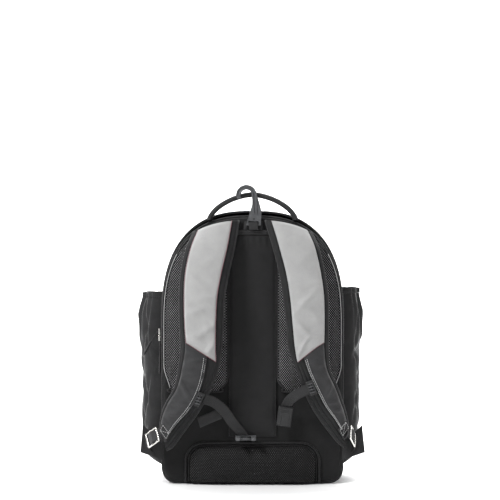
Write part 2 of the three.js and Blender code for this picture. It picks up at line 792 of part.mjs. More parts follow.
function fenceHook() {
  const outer = hookInnerRadius + hookTipWidth + 1;
  const arcZ = hookFoot + hookHeight - outer;
  const left = hookOffset - hookFootWidth / 2;
  const right = hookOffset + hookFootWidth / 2;
  const inner = hookCentreX + hookInnerRadius;
  const tip = arcZ - hookTipWidth * 0.9;
  const shape = new THREE.Shape();
  shape.moveTo(left, hookFoot);
  shape.lineTo(right, hookFoot);
  shape.lineTo(right + 1, hookFoot + hookHeight * 0.36);
  shape.lineTo(inner + hookShankWidth, hookFoot + hookHeight * 0.54);
  shape.lineTo(hookCentreX + outer + 2, arcZ - 4);
  shape.absarc(hookCentreX, arcZ, outer, 0, Math.PI, false);
  shape.lineTo(hookCentreX - outer + 3, tip);
  shape.lineTo(hookCentreX - hookInnerRadius + 0.5, tip);
  shape.absarc(hookCentreX, arcZ, hookInnerRadius, Math.PI, 0, true);
  shape.lineTo(inner, hookFoot + hookHeight * 0.52);
  shape.lineTo(left + 5, hookFoot + hookHeight * 0.26);
  const half = hookTabWidth / 2 + seamGap;
  const low = hookFoot + hookBarHeight;
  shape.holes.push(
    new THREE.Path(
      [[-half, low], [-half, low + hookSlotHeight], [half, low + hookSlotHeight], [half, low]].map(
        ([x, z]) => new THREE.Vector2(x + hookOffset, z)
      )
    )
  );
  const geometry = plate(shape, hookThickness, 8);
  geometry.translate(0, hookRear - hookThickness, 0);
  return geometry;
}

// The tab runs up in front of the hook's foot bar, through the slot and down behind it
function hookTab() {
  const foot = sleeveHead + sleeveHemHeight + 2 * seamGap;
  const bar = hookFoot + hookBarHeight;
  const front = hookRear - hookThickness - seamGap;
  const back = hookRear + seamGap;
  const top = bar + seamGap + webThickness;
  const section = polygon([
    [front - webThickness, foot],
    [front, foot],
    [front, top - webThickness],
    [back, top - webThickness],
    [back, foot],
    [back + webThickness - seamGap, foot],
    [back + webThickness - seamGap, top],
    [front - webThickness, top],
  ]);
  const geometry = new THREE.ExtrudeGeometry(section, { depth: hookTabWidth, bevelEnabled: false });
  geometry.applyMatrix4(
    new THREE.Matrix4().makeBasis(
      new THREE.Vector3(0, 1, 0),
      new THREE.Vector3(0, 0, 1),
      new THREE.Vector3(1, 0, 0)
    )
  );
  geometry.translate(hookOffset - hookTabWidth / 2, 0, 0);
  return geometry;
}

// A rectangular frame with a middle bar, lying in the XZ plane about its centre
function frameWithBar(width, height, bar, thickness) {
  const windowWidth = (width - 3 * bar) / 2;
  const windows = [-1, 1].map((side) => {
    const cutter = new THREE.BoxGeometry(windowWidth, 2 * thickness, height - 2 * bar);
    return cutter.translate((side * (bar + windowWidth)) / 2, 0, 0);
  });
  return cutOut(new THREE.BoxGeometry(width, thickness, height), ...windows);
}

// Anchor wings: webbing sewn into the side seams near the base, which stands out to the locks.
// The corners are shares of the back panel's half width and height.
const wingCorners = {
  rootLow: { z: 0.089 },
  rootHigh: { z: 0.15 },
  endLow: { x: 1.2575, z: 0.12 },
  endHigh: { x: 1.227, z: 0.222 },
};

function anchorWing(sign) {
  const { rootLow, rootHigh, endLow, endHigh } = wingCorners;
  const surface = (depth) => (u, v) => {
    const root = { x: panelHalfWidth + 2 * seamGap, z: lerp(rootLow.z, rootHigh.z, v) * panelHeight };
    const [endX, endZ] = [lerp(endLow.x, endHigh.x, v), lerp(endLow.z, endHigh.z, v)];
    const end = { x: endX * panelHalfWidth, z: endZ * panelHeight };
    const y = rearFace + 4 - anchorRise * u ** 1.5 - depth;
    return [sign * lerp(root.x, end.x, u), y, lerp(root.z, end.z, u)];
  };
  return wallBetween(surface(anchorThickness), surface(0), 4, 1);
}

// The ladder locks sit between the straps' tips and the wings. Each faces outwards: where its
// centre is, as shares of the panel's half width and height, how far out it stands, the way
// the webbing runs through it towards the strap, and the way down across the webbing.
const lockPlaces = {
  left: { x: 1.112, z: 0.18, out: 24, along: [21.8, -12, 16.2], across: [8, -19.9, -25.5] },
  right: { x: 1.113, z: 0.186, out: 26, along: [-10.5, -22, 19.5], across: [-2.5, -22.7, -27] },
};

function lockMatrix(name) {
  const { x, z, out, along, across } = lockPlaces[name];
  const run = new THREE.Vector3(...along).normalize();
  const down = new THREE.Vector3(...across);
  down.addScaledVector(run, -down.dot(run)).normalize();
  const inward = new THREE.Vector3().crossVectors(down, run);
  if (inward.y < 0) inward.negate();
  const width = new THREE.Vector3().crossVectors(run, inward);
  const sign = name === "left" ? -1 : 1;
  return new THREE.Matrix4()
    .makeBasis(run, inward, width)
    .setPosition(sign * x * panelHalfWidth, rearFace - out, z * panelHeight);
}

function ladderLock() {
  return frameWithBar(lockLength, webWidth + 2 * lockBar + 1.5, lockBar, lockThickness);
}

// Webbing as a band of constant width along a hand-picked centre line, with its width direction
function webBand(points, widthDirections, width, thickness, steps) {
  const path = new THREE.CatmullRomCurve3(points);
  const directions = new THREE.CatmullRomCurve3(widthDirections);
  const surface = (side) => (u, v) => {
    const centre = path.getPoint(v);
    const across = directions.getPoint(v).normalize();
    const normal = new THREE.Vector3().crossVectors(path.getTangent(v), across).normalize();
    return centre.addScaledVector(across, (u - 0.5) * width).addScaledVector(normal, side * thickness).toArray();
  };
  return wallBetween(surface(0.5), surface(-0.5), 2, steps);
}

// The strap's webbing is sewn on its end, and goes through the lock over its middle bar
function strapWebbing(name) {
  const matrix = lockMatrix(name);
  const local = (along, out) => new THREE.Vector3(along, out, 0).applyMatrix4(matrix);
  const lockAcross = new THREE.Vector3(0, 0, 1).transformDirection(matrix);
  const clear = lockThickness / 2 + webThickness / 2 + 3 * seamGap;
  const inside = lockLength / 2 - lockBar / 2;
  const onStrap = [
    { along: coverEnd + 0.006, across: 0.3 },
    { along: 0.95, across: 0.25 },
    { along: 0.97, across: 0.12 },
  ];
  const route = onStrap.map(({ along, across }) => {
    const rise = strapDome(0.5, along) + strapPadAt(0.5, along) + coverGap + webThickness / 2;
    const point = strapPlace(name, across, along, rise);
    const inner = strapPlace(name, 1, along, 0);
    const direction = inner.sub(strapPlace(name, 0, along, 0)).normalize();
    return { point, direction };
  });
  for (const [along, out] of [
    [inside + 2 * lockBar, clear],
    [inside, clear],
    [inside * 0.5, 0],
    [0, -clear],
    [-inside * 0.5, 0],
    [-inside, clear],
    [-inside - 7, clear],
  ]) {
    route.push({ point: local(along, out), direction: lockAcross });
  }
  const facing = route[0].direction.dot(lockAcross) < 0 ? -1 : 1;
  const directions = route.map(({ direction }, i) =>
    direction.clone().multiplyScalar(i < onStrap.length ? facing : 1)
  );
  return webBand(route.map(({ point }) => point), directions, webWidth, webThickness, 16);
}

// Sliders and pulls of the main zipper, on the left side
const zipMiddle = shellRear + zipOffset + zipTapeWidth / 2;
const sliderSeat = shellHalfWidth + 3 * seamGap + zipTapeThickness + zipCoilHeight;
const lowerSlider = zipEndHeight + sliderLength;
const sliderPlaces = { lower: lowerSlider, upper: lowerSlider + sliderLength + 2 * seamGap };

function addZipPulls() {
  for (const [name, z] of Object.entries(sliderPlaces)) {
    const slider = add(`zip_slider_${name}`, block(sliderHeight, sliderWidth, sliderLength, 0.8), nickel);
    slider.position.set(-sliderSeat - sliderHeight / 2, zipMiddle, z);
  }
  const upright = add("zip_pull_upright", block(pullThickness, pullWidth, uprightPullLength, 0.7), trim);
  const pullTop = sliderPlaces.lower - sliderLength / 2 - seamGap;
  upright.position.set(-sliderSeat - pullThickness / 2, zipMiddle, pullTop - uprightPullLength / 2);
  const slanted = add("zip_pull_slanted", block(pullThickness, pullWidth, slantedPullLength, 0.7), trim);
  const tilt = THREE.MathUtils.degToRad(slantedPullTilt);
  const head = sliderSeat + sliderHeight + 2 * seamGap + pullThickness / 2;
  slanted.rotation.y = tilt;
  slanted.position.set(
    -head - (slantedPullLength / 2) * Math.sin(tilt),
    zipMiddle,
    sliderPlaces.upper - (slantedPullLength / 2) * Math.cos(tilt)
  );
}

// Sternum strap: a clip on each shoulder strap, its webbing and the two halves of the buckle
const clipPlaces = {
  left: { across: 0.8, along: 0.67 },
  right: { across: 0.76, along: 0.62 },
};
const clipSize = { width: 14, height: 28 };

function clipMatrix(name) {
  const { across, along } = clipPlaces[name];
  const under = strapPadAt(across, along) + coverGap + coverThickness;
  const out = under + 2 * seamGap + clipThickness / 2;
  const step = 0.02;
  const centre = strapPoint(name, across, along, out);
  const upward = strapPoint(name, across, along - step, out).sub(centre).normalize();
  const sideways = strapPoint(name, across + step, along, out).sub(centre);
  sideways.addScaledVector(upward, -sideways.dot(upward)).normalize();
  const inward = new THREE.Vector3().crossVectors(upward, sideways);
  if (inward.y < 0) inward.negate();
  const right = new THREE.Vector3().crossVectors(inward, upward);
  return new THREE.Matrix4().makeBasis(right, inward, upward).setPosition(centre);
}

// The sternum webbing's centre lines: how far in and how far below its clip each point is, how far it
// stands off, as a share of the way from the back panel to the clip, and the direction of its width
const sternumRoutes = {
  left: [
    { inward: 10.4, below: 0.6, off: 0.867, wide: [0.3, 0, 0.95] },
    { inward: 27.4, below: 6.6, off: 0.708, wide: [0.4, 0, 0.9] },
    { inward: 47.4, below: 23.6, off: 0.531, wide: [0.7, 0, 0.7] },
    { inward: 65.4, below: 49.6, off: 0.389, wide: [0.85, 0.1, 0.4] },
    { inward: 80.4, below: 67.6, off: 0.283, wide: [0.97, 0.1, 0.2] },
    { inward: 85.4, below: 74.2, off: 0.265, wide: [1, 0, 0] },
  ],
  right: [
    { inward: 6.6, below: 2.4, off: 0.965, wide: [-0.35, 0, 0.93] },
    { inward: 24.3, below: 11.7, off: 0.835, wide: [-0.5, 0, 0.85] },
    { inward: 39.3, below: 24.7, off: 0.54, wide: [-0.8, 0, 0.6] },
    { inward: 47.3, below: 39.1, off: 0.295, wide: [-0.99, 0, 0.14] },
  ],
  tail: [
    { inward: -0.6, below: 48.6, off: 0.442, wide: [-0.3, 0, 0.95] },
    { inward: 15.4, below: 41.6, off: 0.46, wide: [-0.3, 0, 0.95] },
    { inward: 29.4, below: 35.6, off: 0.471, wide: [-0.3, 0, 0.95] },
    { inward: 41.3, below: 30.8, off: 0.478, wide: [-0.3, 0, 0.95] },
  ],
};

function sternumRoute(name) {
  const sign = name === "right" ? 1 : -1;
  const clip = new THREE.Vector3().setFromMatrixPosition(clipMatrix(name === "right" ? "right" : "left"));
  return sternumRoutes[name].map(({ inward, below, off }) =>
    new THREE.Vector3(clip.x - sign * inward, lerp(rearFace, clip.y, off), clip.z - below)
  );
}

function sternumBand(name) {
  const widths = sternumRoutes[name].map(({ wide }) => new THREE.Vector3(...wide));
  return webBand(sternumRoute(name), widths, sternumWebWidth, webThickness, 8);
}

function maleBuckle() {
  const body = toSolid(block(maleBuckleWidth, maleBuckleDepth, buckleThickness, 1));
  const reach = maleBuckleDepth / 2 + prongLength / 2 - 2;
  const prongs = [-1, 1].map((side) => {
    const prong = block(prongWidth, prongLength, buckleThickness * 0.7, 1);
    return prong.translate(side * (maleBuckleWidth / 2 - prongWidth / 2 - 2), -reach, 0);
  });
  return fromSolid(prongs.reduce((joined, prong) => joined.add(toSolid(prong)), body));
}

function femaleBuckle() {
  const mouth = new THREE.BoxGeometry(femaleBuckleWidth - 7, buckleThickness - 4, femaleBuckleLength * 0.7);
  mouth.translate(0, 0, -femaleBuckleLength * 0.25);
  return cutOut(block(femaleBuckleWidth, buckleThickness, femaleBuckleLength, 1.5), mouth);
}

function addSternumStrap() {
  for (const name of ["left", "right"]) {
    const clip = add(
      `sternum_clip_${name}`,
      frameWithBar(clipSize.width, clipSize.height, clipBar, clipThickness),
      plastic
    );
    clip.applyMatrix4(clipMatrix(name));
    add(`sternum_webbing_${name}`, sternumBand(name), webbing);
  }
  add("sternum_tail", sternumBand("tail"), webbing);
  const male = add("buckle_male", maleBuckle(), plastic);
  male.position.copy(sternumRoute("left").at(-1));
  male.position.x += maleBuckleShift;
  male.position.z -= buckleThickness / 2 + 2 * seamGap;
  const female = add("buckle_female", femaleBuckle(), plastic);
  female.rotation.y = THREE.MathUtils.degToRad(femaleBuckleTilt);
  const reach = femaleBuckleLength / 2 + 5 * seamGap;
  female.position.copy(sternumRoute("right").at(-1));
  female.position.addScaledVector(new THREE.Vector3(0, 0, -1).applyEuler(female.rotation), reach);
}

const group = new THREE.Group();

function add(name, geometry, look) {
  const piece = new THREE.Mesh(geometry, new THREE.MeshStandardMaterial(look));
  piece.name = name;
  group.add(piece);
  return piece;
}

add("back_panel", backPanel(), cloth);
add("gusset_top", topGusset(), cloth);
add("gusset_left", sideGusset(-1), cloth);
add("gusset_right", sideGusset(1), cloth);
add("base_panel", basePanel(), cloth);
add("front_panel", frontPanel(), cloth);
add("front_compartment", frontCompartment(), cloth);
add("front_zipper", frontZipper(), trim);
add("panel_piping", panelPiping(), trim);
add("main_zipper", mainZipper(), trim);
add("spine_sleeve", spineSleeve(), cloth);
add("sleeve_hem", sleeveHem(), cloth);
add("lumbar_pad", lumbarPad(), mesh);
add("lumbar_piping", lumbarPiping(), trim);
add("haul_handle", haulHandle(), webbing);
add("fence_hook", fenceHook(), plastic);
add("hook_tab", hookTab(), webbing);
for (const [name, sign] of [["left", -1], ["right", 1]]) {
  add(`mesh_pad_${name}`, meshPad(sign), mesh);
  add(`bat_pocket_${name}`, pocketWall(name), cloth);
  add(`pocket_hem_${name}`, pocketHem(name), cloth);
  add(`strap_pad_${name}`, strapPad(name), mesh);
  add(`strap_cover_grey_${name}`, greyCover(name), greyCloth);
  add(`strap_cover_black_${name}`, blackCover(name), cloth);
  add(`anchor_wing_${name}`, anchorWing(sign), webbing);
  const lock = add(`ladder_lock_${name}`, ladderLock(), nickel);
  lock.applyMatrix4(lockMatrix(name));
  add(`strap_webbing_${name}`, strapWebbing(name), webbing);
}

addZipPulls();
addSternumStrap();

export default group;
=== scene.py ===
"""Baseball bat backpack: the looks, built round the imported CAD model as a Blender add-on."""

import math

import bmesh
import bpy
from mathutils import Matrix, Vector, noise


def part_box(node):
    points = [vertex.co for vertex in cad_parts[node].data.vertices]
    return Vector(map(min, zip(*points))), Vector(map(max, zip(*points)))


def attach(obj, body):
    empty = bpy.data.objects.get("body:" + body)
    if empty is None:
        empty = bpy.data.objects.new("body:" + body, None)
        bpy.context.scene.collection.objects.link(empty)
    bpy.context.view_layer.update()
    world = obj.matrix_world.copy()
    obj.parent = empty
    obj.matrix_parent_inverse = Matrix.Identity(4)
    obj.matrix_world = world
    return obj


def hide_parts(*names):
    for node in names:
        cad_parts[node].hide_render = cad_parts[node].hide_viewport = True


bl_info = {
    "name": "Bat Backpack",
    "version": (1, 0, 0),
    "blender": (4, 5, 0),
    "location": "3D View > Sidebar > Bat Backpack",
    "description": "Builds a bat backpack with side pockets, padded straps and a fence hook",
    "category": "Add Mesh",
}

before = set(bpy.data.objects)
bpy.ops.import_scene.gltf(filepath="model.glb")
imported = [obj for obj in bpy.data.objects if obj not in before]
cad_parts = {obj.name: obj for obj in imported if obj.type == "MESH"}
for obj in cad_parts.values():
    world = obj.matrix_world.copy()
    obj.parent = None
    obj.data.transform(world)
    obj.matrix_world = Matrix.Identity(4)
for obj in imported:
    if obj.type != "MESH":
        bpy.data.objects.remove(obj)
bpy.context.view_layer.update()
SIDES = (("left", -1), ("right", 1))
MM = 0.001

# The bag's fixed measures in millimetres, the same as in the CAD part
SHELL_HALF, SHELL_TOP, SHOULDER, ARCH_POWER, CORNER = 177.0, 531.0, 310.0, 2.6, 26.0
REAR, SHELL_REAR, SHELL_FRONT = -116.0, -103.7, 42.0
FRONT_LEAN, FRONT_ROUND, RECESS = 34.0, 9.0, 29.0
PANEL_HALF, PANEL_TOP, PANEL_FOOT, PANEL_THICK = 174.0, 520.0, 5.0, 12.0
COMPARTMENT_DEPTH, COMPARTMENT_HALF, COMPARTMENT_FOOT, COMPARTMENT_TOP = 74.0, 142.0, 14.0, 402.0
POCKET_REAR, POCKET_FRONT, POCKET_FLOOR = -78.7, 20.0, 33.0
POCKET_HEAD = {"left": 362.0, "right": 371.0}
POCKET_REACH = {"left": 47.0, "right": 41.0}
HEM_HEIGHT = 10.0
HOOK_X, HOOK_Z, HOOK_RING = -12.0, 563.0, 15.5
HOOK_RIDGE, EYELET_X, EYELET_Z = 3.1, 2.5, 516.5
SPINE_HALF, SLEEVE_FOOT, SLEEVE_HEAD, HEM_TOP = 48.0, 92.0, 486.0, 495.3
PUCKER_FOOT, PUCKER_HEAD = 496.0, 512.0
PAD_FOOT, PAD_HEAD, PAD_MARGIN = 180.0, 478.0, 2.0
LUMBAR_HALF, LUMBAR_TOP, LUMBAR_FOOT, LUMBAR_CORNER = 122.0, 72.0, 3.0, 27.0
ZIP_NEAR, ZIP_WIDTH, ZIP_END = -102.2, 20.0, 272.0
PULL_Y, PULL_SLANT = -92.2, 30.0
UPRIGHT_PULL_X, UPRIGHT_PULL_Z, UPRIGHT_PULL_LENGTH = -182.2, 277.0, 64.0
SLANTED_PULL_X, SLANTED_PULL_Z, SLANTED_PULL_LENGTH = -186.6, 296.6, 53.0
STRAP_SEAT, STRAP_LIFT, STRAP_CROWN, STRAP_ARCH = 8.6, 40.0, 4.0, 6.0
HANDLE_SPAN, HANDLE_SEAT, HANDLE_RISE, HANDLE_BEND = 84.0, 7.4, 50.0, 1.65


def lerp(a, b, share):
    return a + (b - a) * share


def ramp(value, low, high):
    """A smooth step from 0 to 1 as value goes from low to high."""
    share = min(max((value - low) / (high - low), 0.0), 1.0)
    return share * share * (3 - 2 * share)


def power(value, exponent):
    return math.copysign(abs(value) ** exponent, value)


def ripple(x, y, z, size, seed=0.0):
    """Smooth noise from about -1 to 1, with features of the given size in millimetres."""
    return noise.noise(Vector((x / size + seed, y / size - seed, z / size + 3.7 * seed)))


def crease(x, z, at_x, at_z, slant, length, width):
    """A fold: 1 on its line and fading out across and along it. Slant is in degrees from +X."""
    c, s = math.cos(math.radians(slant)), math.sin(math.radians(slant))
    along = ((x - at_x) * c + (z - at_z) * s) / length
    across = (-(x - at_x) * s + (z - at_z) * c) / width
    return math.exp(-along * along - across * across)


# Mesh helpers. Every piece is modelled in millimetres and scaled to metres as its mesh is made.


def make_object(name, bm, material, scale=MM):
    bmesh.ops.scale(bm, vec=(scale,) * 3, verts=bm.verts)
    mesh = bpy.data.meshes.new(name)
    bm.to_mesh(mesh)
    bm.free()
    for polygon in mesh.polygons:
        polygon.use_smooth = True
    piece = bpy.data.objects.new(name, mesh)
    bpy.context.scene.collection.objects.link(piece)
    piece.data.materials.append(material)
    return piece


def finish_piece(piece, nodes=()):
    """The piece rides on the bag and stands for its CAD nodes."""
    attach(piece, "root")
    if nodes:
        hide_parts(*nodes)
    return piece


def grid(columns, rows):
    """A flat grid with a UV map, whose corners are at 0 and 1."""
    bm = bmesh.new()
    bm.loops.layers.uv.new("UVMap")
    bmesh.ops.create_grid(bm, x_segments=columns, y_segments=rows, size=0.5, calc_uvs=True)
    bmesh.ops.translate(bm, verts=bm.verts, vec=(0.5, 0.5, 0))
    return bm


def stretch_uv(bm, width, height):
    """UVs in metres, so that a weave has the same scale on every piece."""
    layer = bm.loops.layers.uv.active
    for face in bm.faces:
        for loop in face.loops:
            uv = loop[layer].uv
            loop[layer].uv = (uv.x * width * MM, uv.y * height * MM)


def flat_uv(bm):
    """UVs in metres as seen from behind, so that a weave runs straight over a flat piece."""
    layer = bm.loops.layers.uv.active
    for face in bm.faces:
        for loop in face.loops:
            loop[layer].uv = (loop.vert.co.x * MM, loop.vert.co.z * MM)
    return bm


def sheet_mesh(place, columns, rows, size, thickness=0.0, weld=False):
    """A sheet whose point at u, v is place(u, v). A welded sheet closes on itself round its u."""
    bm = grid(columns, rows)
    stretch_uv(bm, *size)
    for vert in bm.verts:
        vert.co = Vector(place(vert.co.x, vert.co.y))
    if weld:
        bmesh.ops.remove_doubles(bm, verts=bm.verts, dist=0.01)
    bmesh.ops.recalc_face_normals(bm, faces=bm.faces)
    if thickness:
        bmesh.ops.solidify(bm, geom=bm.faces[:], thickness=thickness)
        bmesh.ops.recalc_face_normals(bm, faces=bm.faces)
    return bm


def in_order(bm):
    """Puts the points, edges and faces in order of place, so that a simulation of them repeats exactly."""
    for i, vert in enumerate(sorted(bm.verts, key=lambda vert: tuple(vert.co))):
        vert.index = i
    bm.verts.sort()
    for items in (bm.edges, bm.faces):
        ranked = sorted(items, key=lambda item: sorted(vert.index for vert in item.verts))
        for i, item in enumerate(ranked):
            item.index = i
        items.sort()
    return bm


def pad_mesh(front, back, columns, rows, size):
    """A closed pad between two surfaces, each a function of u and v."""
    bm = grid(columns, rows)
    stretch_uv(bm, *size)
    made = bmesh.ops.extrude_face_region(bm, geom=bm.faces[:])
    lifted = {item for item in made["geom"] if isinstance(item, bmesh.types.BMVert)}
    for vert in bm.verts:
        surface = front if vert in lifted else back
        vert.co = Vector(surface(vert.co.x, vert.co.y))
    bmesh.ops.recalc_face_normals(bm, faces=bm.faces)
    return in_order(bm)


def frames_along(points, closed=False):
    """A tangent and two cross directions at each point, carried along without twisting."""
    count = len(points)
    tangents = []
    for i in range(count):
        before = points[(i - 1) % count if closed else max(i - 1, 0)]
        after = points[(i + 1) % count if closed else min(i + 1, count - 1)]
        tangents.append((after - before).normalized())
    side = tangents[0].orthogonal().normalized()
    frames = []
    for tangent in tangents:
        side = (side - tangent * side.dot(tangent)).normalized()
        frames.append((tangent, side, tangent.cross(side)))
    return frames


def tube_mesh(points, radius, sides=10, closed=False):
    """A round cord through the points. radius may be a number or a function of the share along it."""
    points = [Vector(point) for point in points]
    frames = frames_along(points, closed)
    if closed:
        points, frames = points + points[:1], frames + frames[:1]
    last = len(points) - 1
    length = sum((points[i + 1] - points[i]).length for i in range(last))
    bm = grid(sides, last)
    stretch_uv(bm, 2 * math.pi * (radius(0.5) if callable(radius) else radius), length)
    for vert in bm.verts:
        i = round(vert.co.y * last)
        angle = 2 * math.pi * vert.co.x
        size = radius(i / last) if callable(radius) else radius
        _, side, up = frames[i]
        vert.co = points[i] + side * (size * math.cos(angle)) + up * (size * math.sin(angle))
    bmesh.ops.remove_doubles(bm, verts=bm.verts, dist=0.002)
    bmesh.ops.holes_fill(bm, edges=[edge for edge in bm.edges if edge.is_boundary], sides=0)
    bmesh.ops.recalc_face_normals(bm, faces=bm.faces)
    return bm


def smooth_path(points, count):
    """Points evenly spaced along a Catmull-Rom curve through the given ones."""
    curve = [curve_at(points, i / (8.0 * len(points))) for i in range(8 * len(points) + 1)]
    return even_path(curve, count)


def even_path(points, count):
    """The same line with evenly spaced points."""
    points = [Vector(point) for point in points]
    reach = [0.0]
    for a, b in zip(points, points[1:]):
        reach.append(reach[-1] + (b - a).length)
    result, i = [], 0
    for step in range(count + 1):
        target = reach[-1] * step / count
        while i < len(points) - 2 and reach[i + 1] < target:
            i += 1
        span = reach[i + 1] - reach[i] or 1.0
        result.append(points[i].lerp(points[i + 1], min(max((target - reach[i]) / span, 0), 1)))
    return result


def curve_at(points, share):
    """A point on a Catmull-Rom curve through the given points."""
    last = len(points) - 1
    scaled = min(max(share, 0.0), 1.0) * last
    i = min(int(scaled), last - 1)
    t = scaled - i
    p1, p2 = Vector(points[i]), Vector(points[i + 1])
    p0 = Vector(points[i - 1]) if i else p1 * 2 - p2
    p3 = Vector(points[i + 2]) if i + 2 <= last else p2 * 2 - p1
    spread = (p2 - p0) * t + (p0 * 2 - p1 * 5 + p2 * 4 - p3) * t * t
    return p1 + (spread + (p1 * 3 - p0 - p2 * 3 + p3) * t * t * t) * 0.5


# The body's outline and surfaces, as in the CAD part


def foot_corner(half, foot, corner, steps_round):
    """The round corner at the right end of an outline's foot."""
    points = []
    for i in range(steps_round + 1):
        angle = math.pi / 2 * i / steps_round
        x = half - corner * (1 - math.sin(angle))
        points.append(Vector((x, 0, foot + corner * (1 - math.cos(angle)))))
    return points


def whole_outline(right, count):
    """Evenly spaced points round the right half of an outline and its mirror image."""
    left = [Vector((-point.x, 0, point.z)) for point in reversed(right[:-1])]
    return even_path(right + left, count)


def half_outline(half, top, foot, corner):
    """The right half of the outline, from the middle of the base up to the top of the arch."""
    points = [Vector(((half - corner) * i / 4, 0, foot)) for i in range(4)]
    points += foot_corner(half, foot, corner, 12)
    for i in range(91):
        angle = math.pi / 2 * (i / 90) ** 1.5
        x = half * max(math.cos(angle), 0.0) ** (2 / ARCH_POWER)
        z = SHOULDER + (top - SHOULDER) * math.sin(angle) ** (2 / ARCH_POWER)
        points.append(Vector((x, 0, z)))
    points.append(Vector((0, 0, top)))
    return points


def closed_outline(half, top, foot, corner, count=480):
    """The whole outline as evenly spaced points, from the middle of the base and back to it."""
    return whole_outline(half_outline(half, top, foot, corner), count)


SHELL_OUTLINE = closed_outline(SHELL_HALF, SHELL_TOP, 0, CORNER)
PANEL_OUTLINE = closed_outline(PANEL_HALF, PANEL_TOP, PANEL_FOOT, CORNER)


def outline_at(path, share):
    """The point and the outward direction at a share of the way round a closed outline."""
    last = len(path) - 1
    scaled = (share % 1.0) * last
    i = int(scaled) % last
    point = path[i].lerp(path[i + 1], scaled - int(scaled))
    tangent = (path[(i + 2) % last] - path[i - 1 if i else last - 1]).normalized()
    return point, Vector((tangent.z, 0, -tangent.x))


def shell_front(z):
    """Where the body's front is at a height."""
    return SHELL_FRONT - FRONT_LEAN * (z / SHELL_TOP) ** 2


def recess_at(y, z):
    """How far the body's side is pushed in beside its pocket."""
    across = ramp(y, POCKET_REAR, POCKET_REAR + 26) * (1 - ramp(y, POCKET_FRONT - 26, POCKET_FRONT))
    foot = ramp(z, CORNER + 0.3, CORNER + 44)
    head = 1 - ramp(z, POCKET_HEAD["right"] + 8, POCKET_HEAD["right"] + 78)
    return RECESS * across * foot * head


def panel_half(z):
    """Half the back panel's width at a height."""
    rise = min(max((z - SHOULDER) / (PANEL_TOP - SHOULDER), 0), 1)
    return PANEL_HALF * (1 - rise**ARCH_POWER) ** (1 / ARCH_POWER)


def panel_top(x):
    """The height of the back panel's arch above x."""
    share = min(abs(x) / PANEL_HALF, 1)
    return SHOULDER + (PANEL_TOP - SHOULDER) * (1 - share**ARCH_POWER) ** (1 / ARCH_POWER)


def square_spot(u, v):
    """A point of the unit square as how far out it is, 0 to 1, and its share of the way round."""
    a, b = 2 * u - 1, 2 * v - 1
    out = max(abs(a), abs(b))
    if out < 1e-6:
        return 0.0, 0.0
    a, b = a / out, b / out
    if b <= -1 + 1e-9:
        around = a / 8
    elif a >= 1 - 1e-9:
        around = 0.125 + (b + 1) / 8
    elif b >= 1 - 1e-9:
        around = 0.375 + (1 - a) / 8
    else:
        around = 0.625 + (1 - b) / 8
    return out, around % 1.0


def filled_outline(path, middle):
    """Maps the unit square onto the inside of a closed outline: x, z and how far out."""

    def place(u, v):
        out, around = square_spot(u, v)
        edge, _ = outline_at(path, around)
        return lerp(middle[0], edge.x, out), lerp(middle[1], edge.z, out), out

    return place


# Finishes


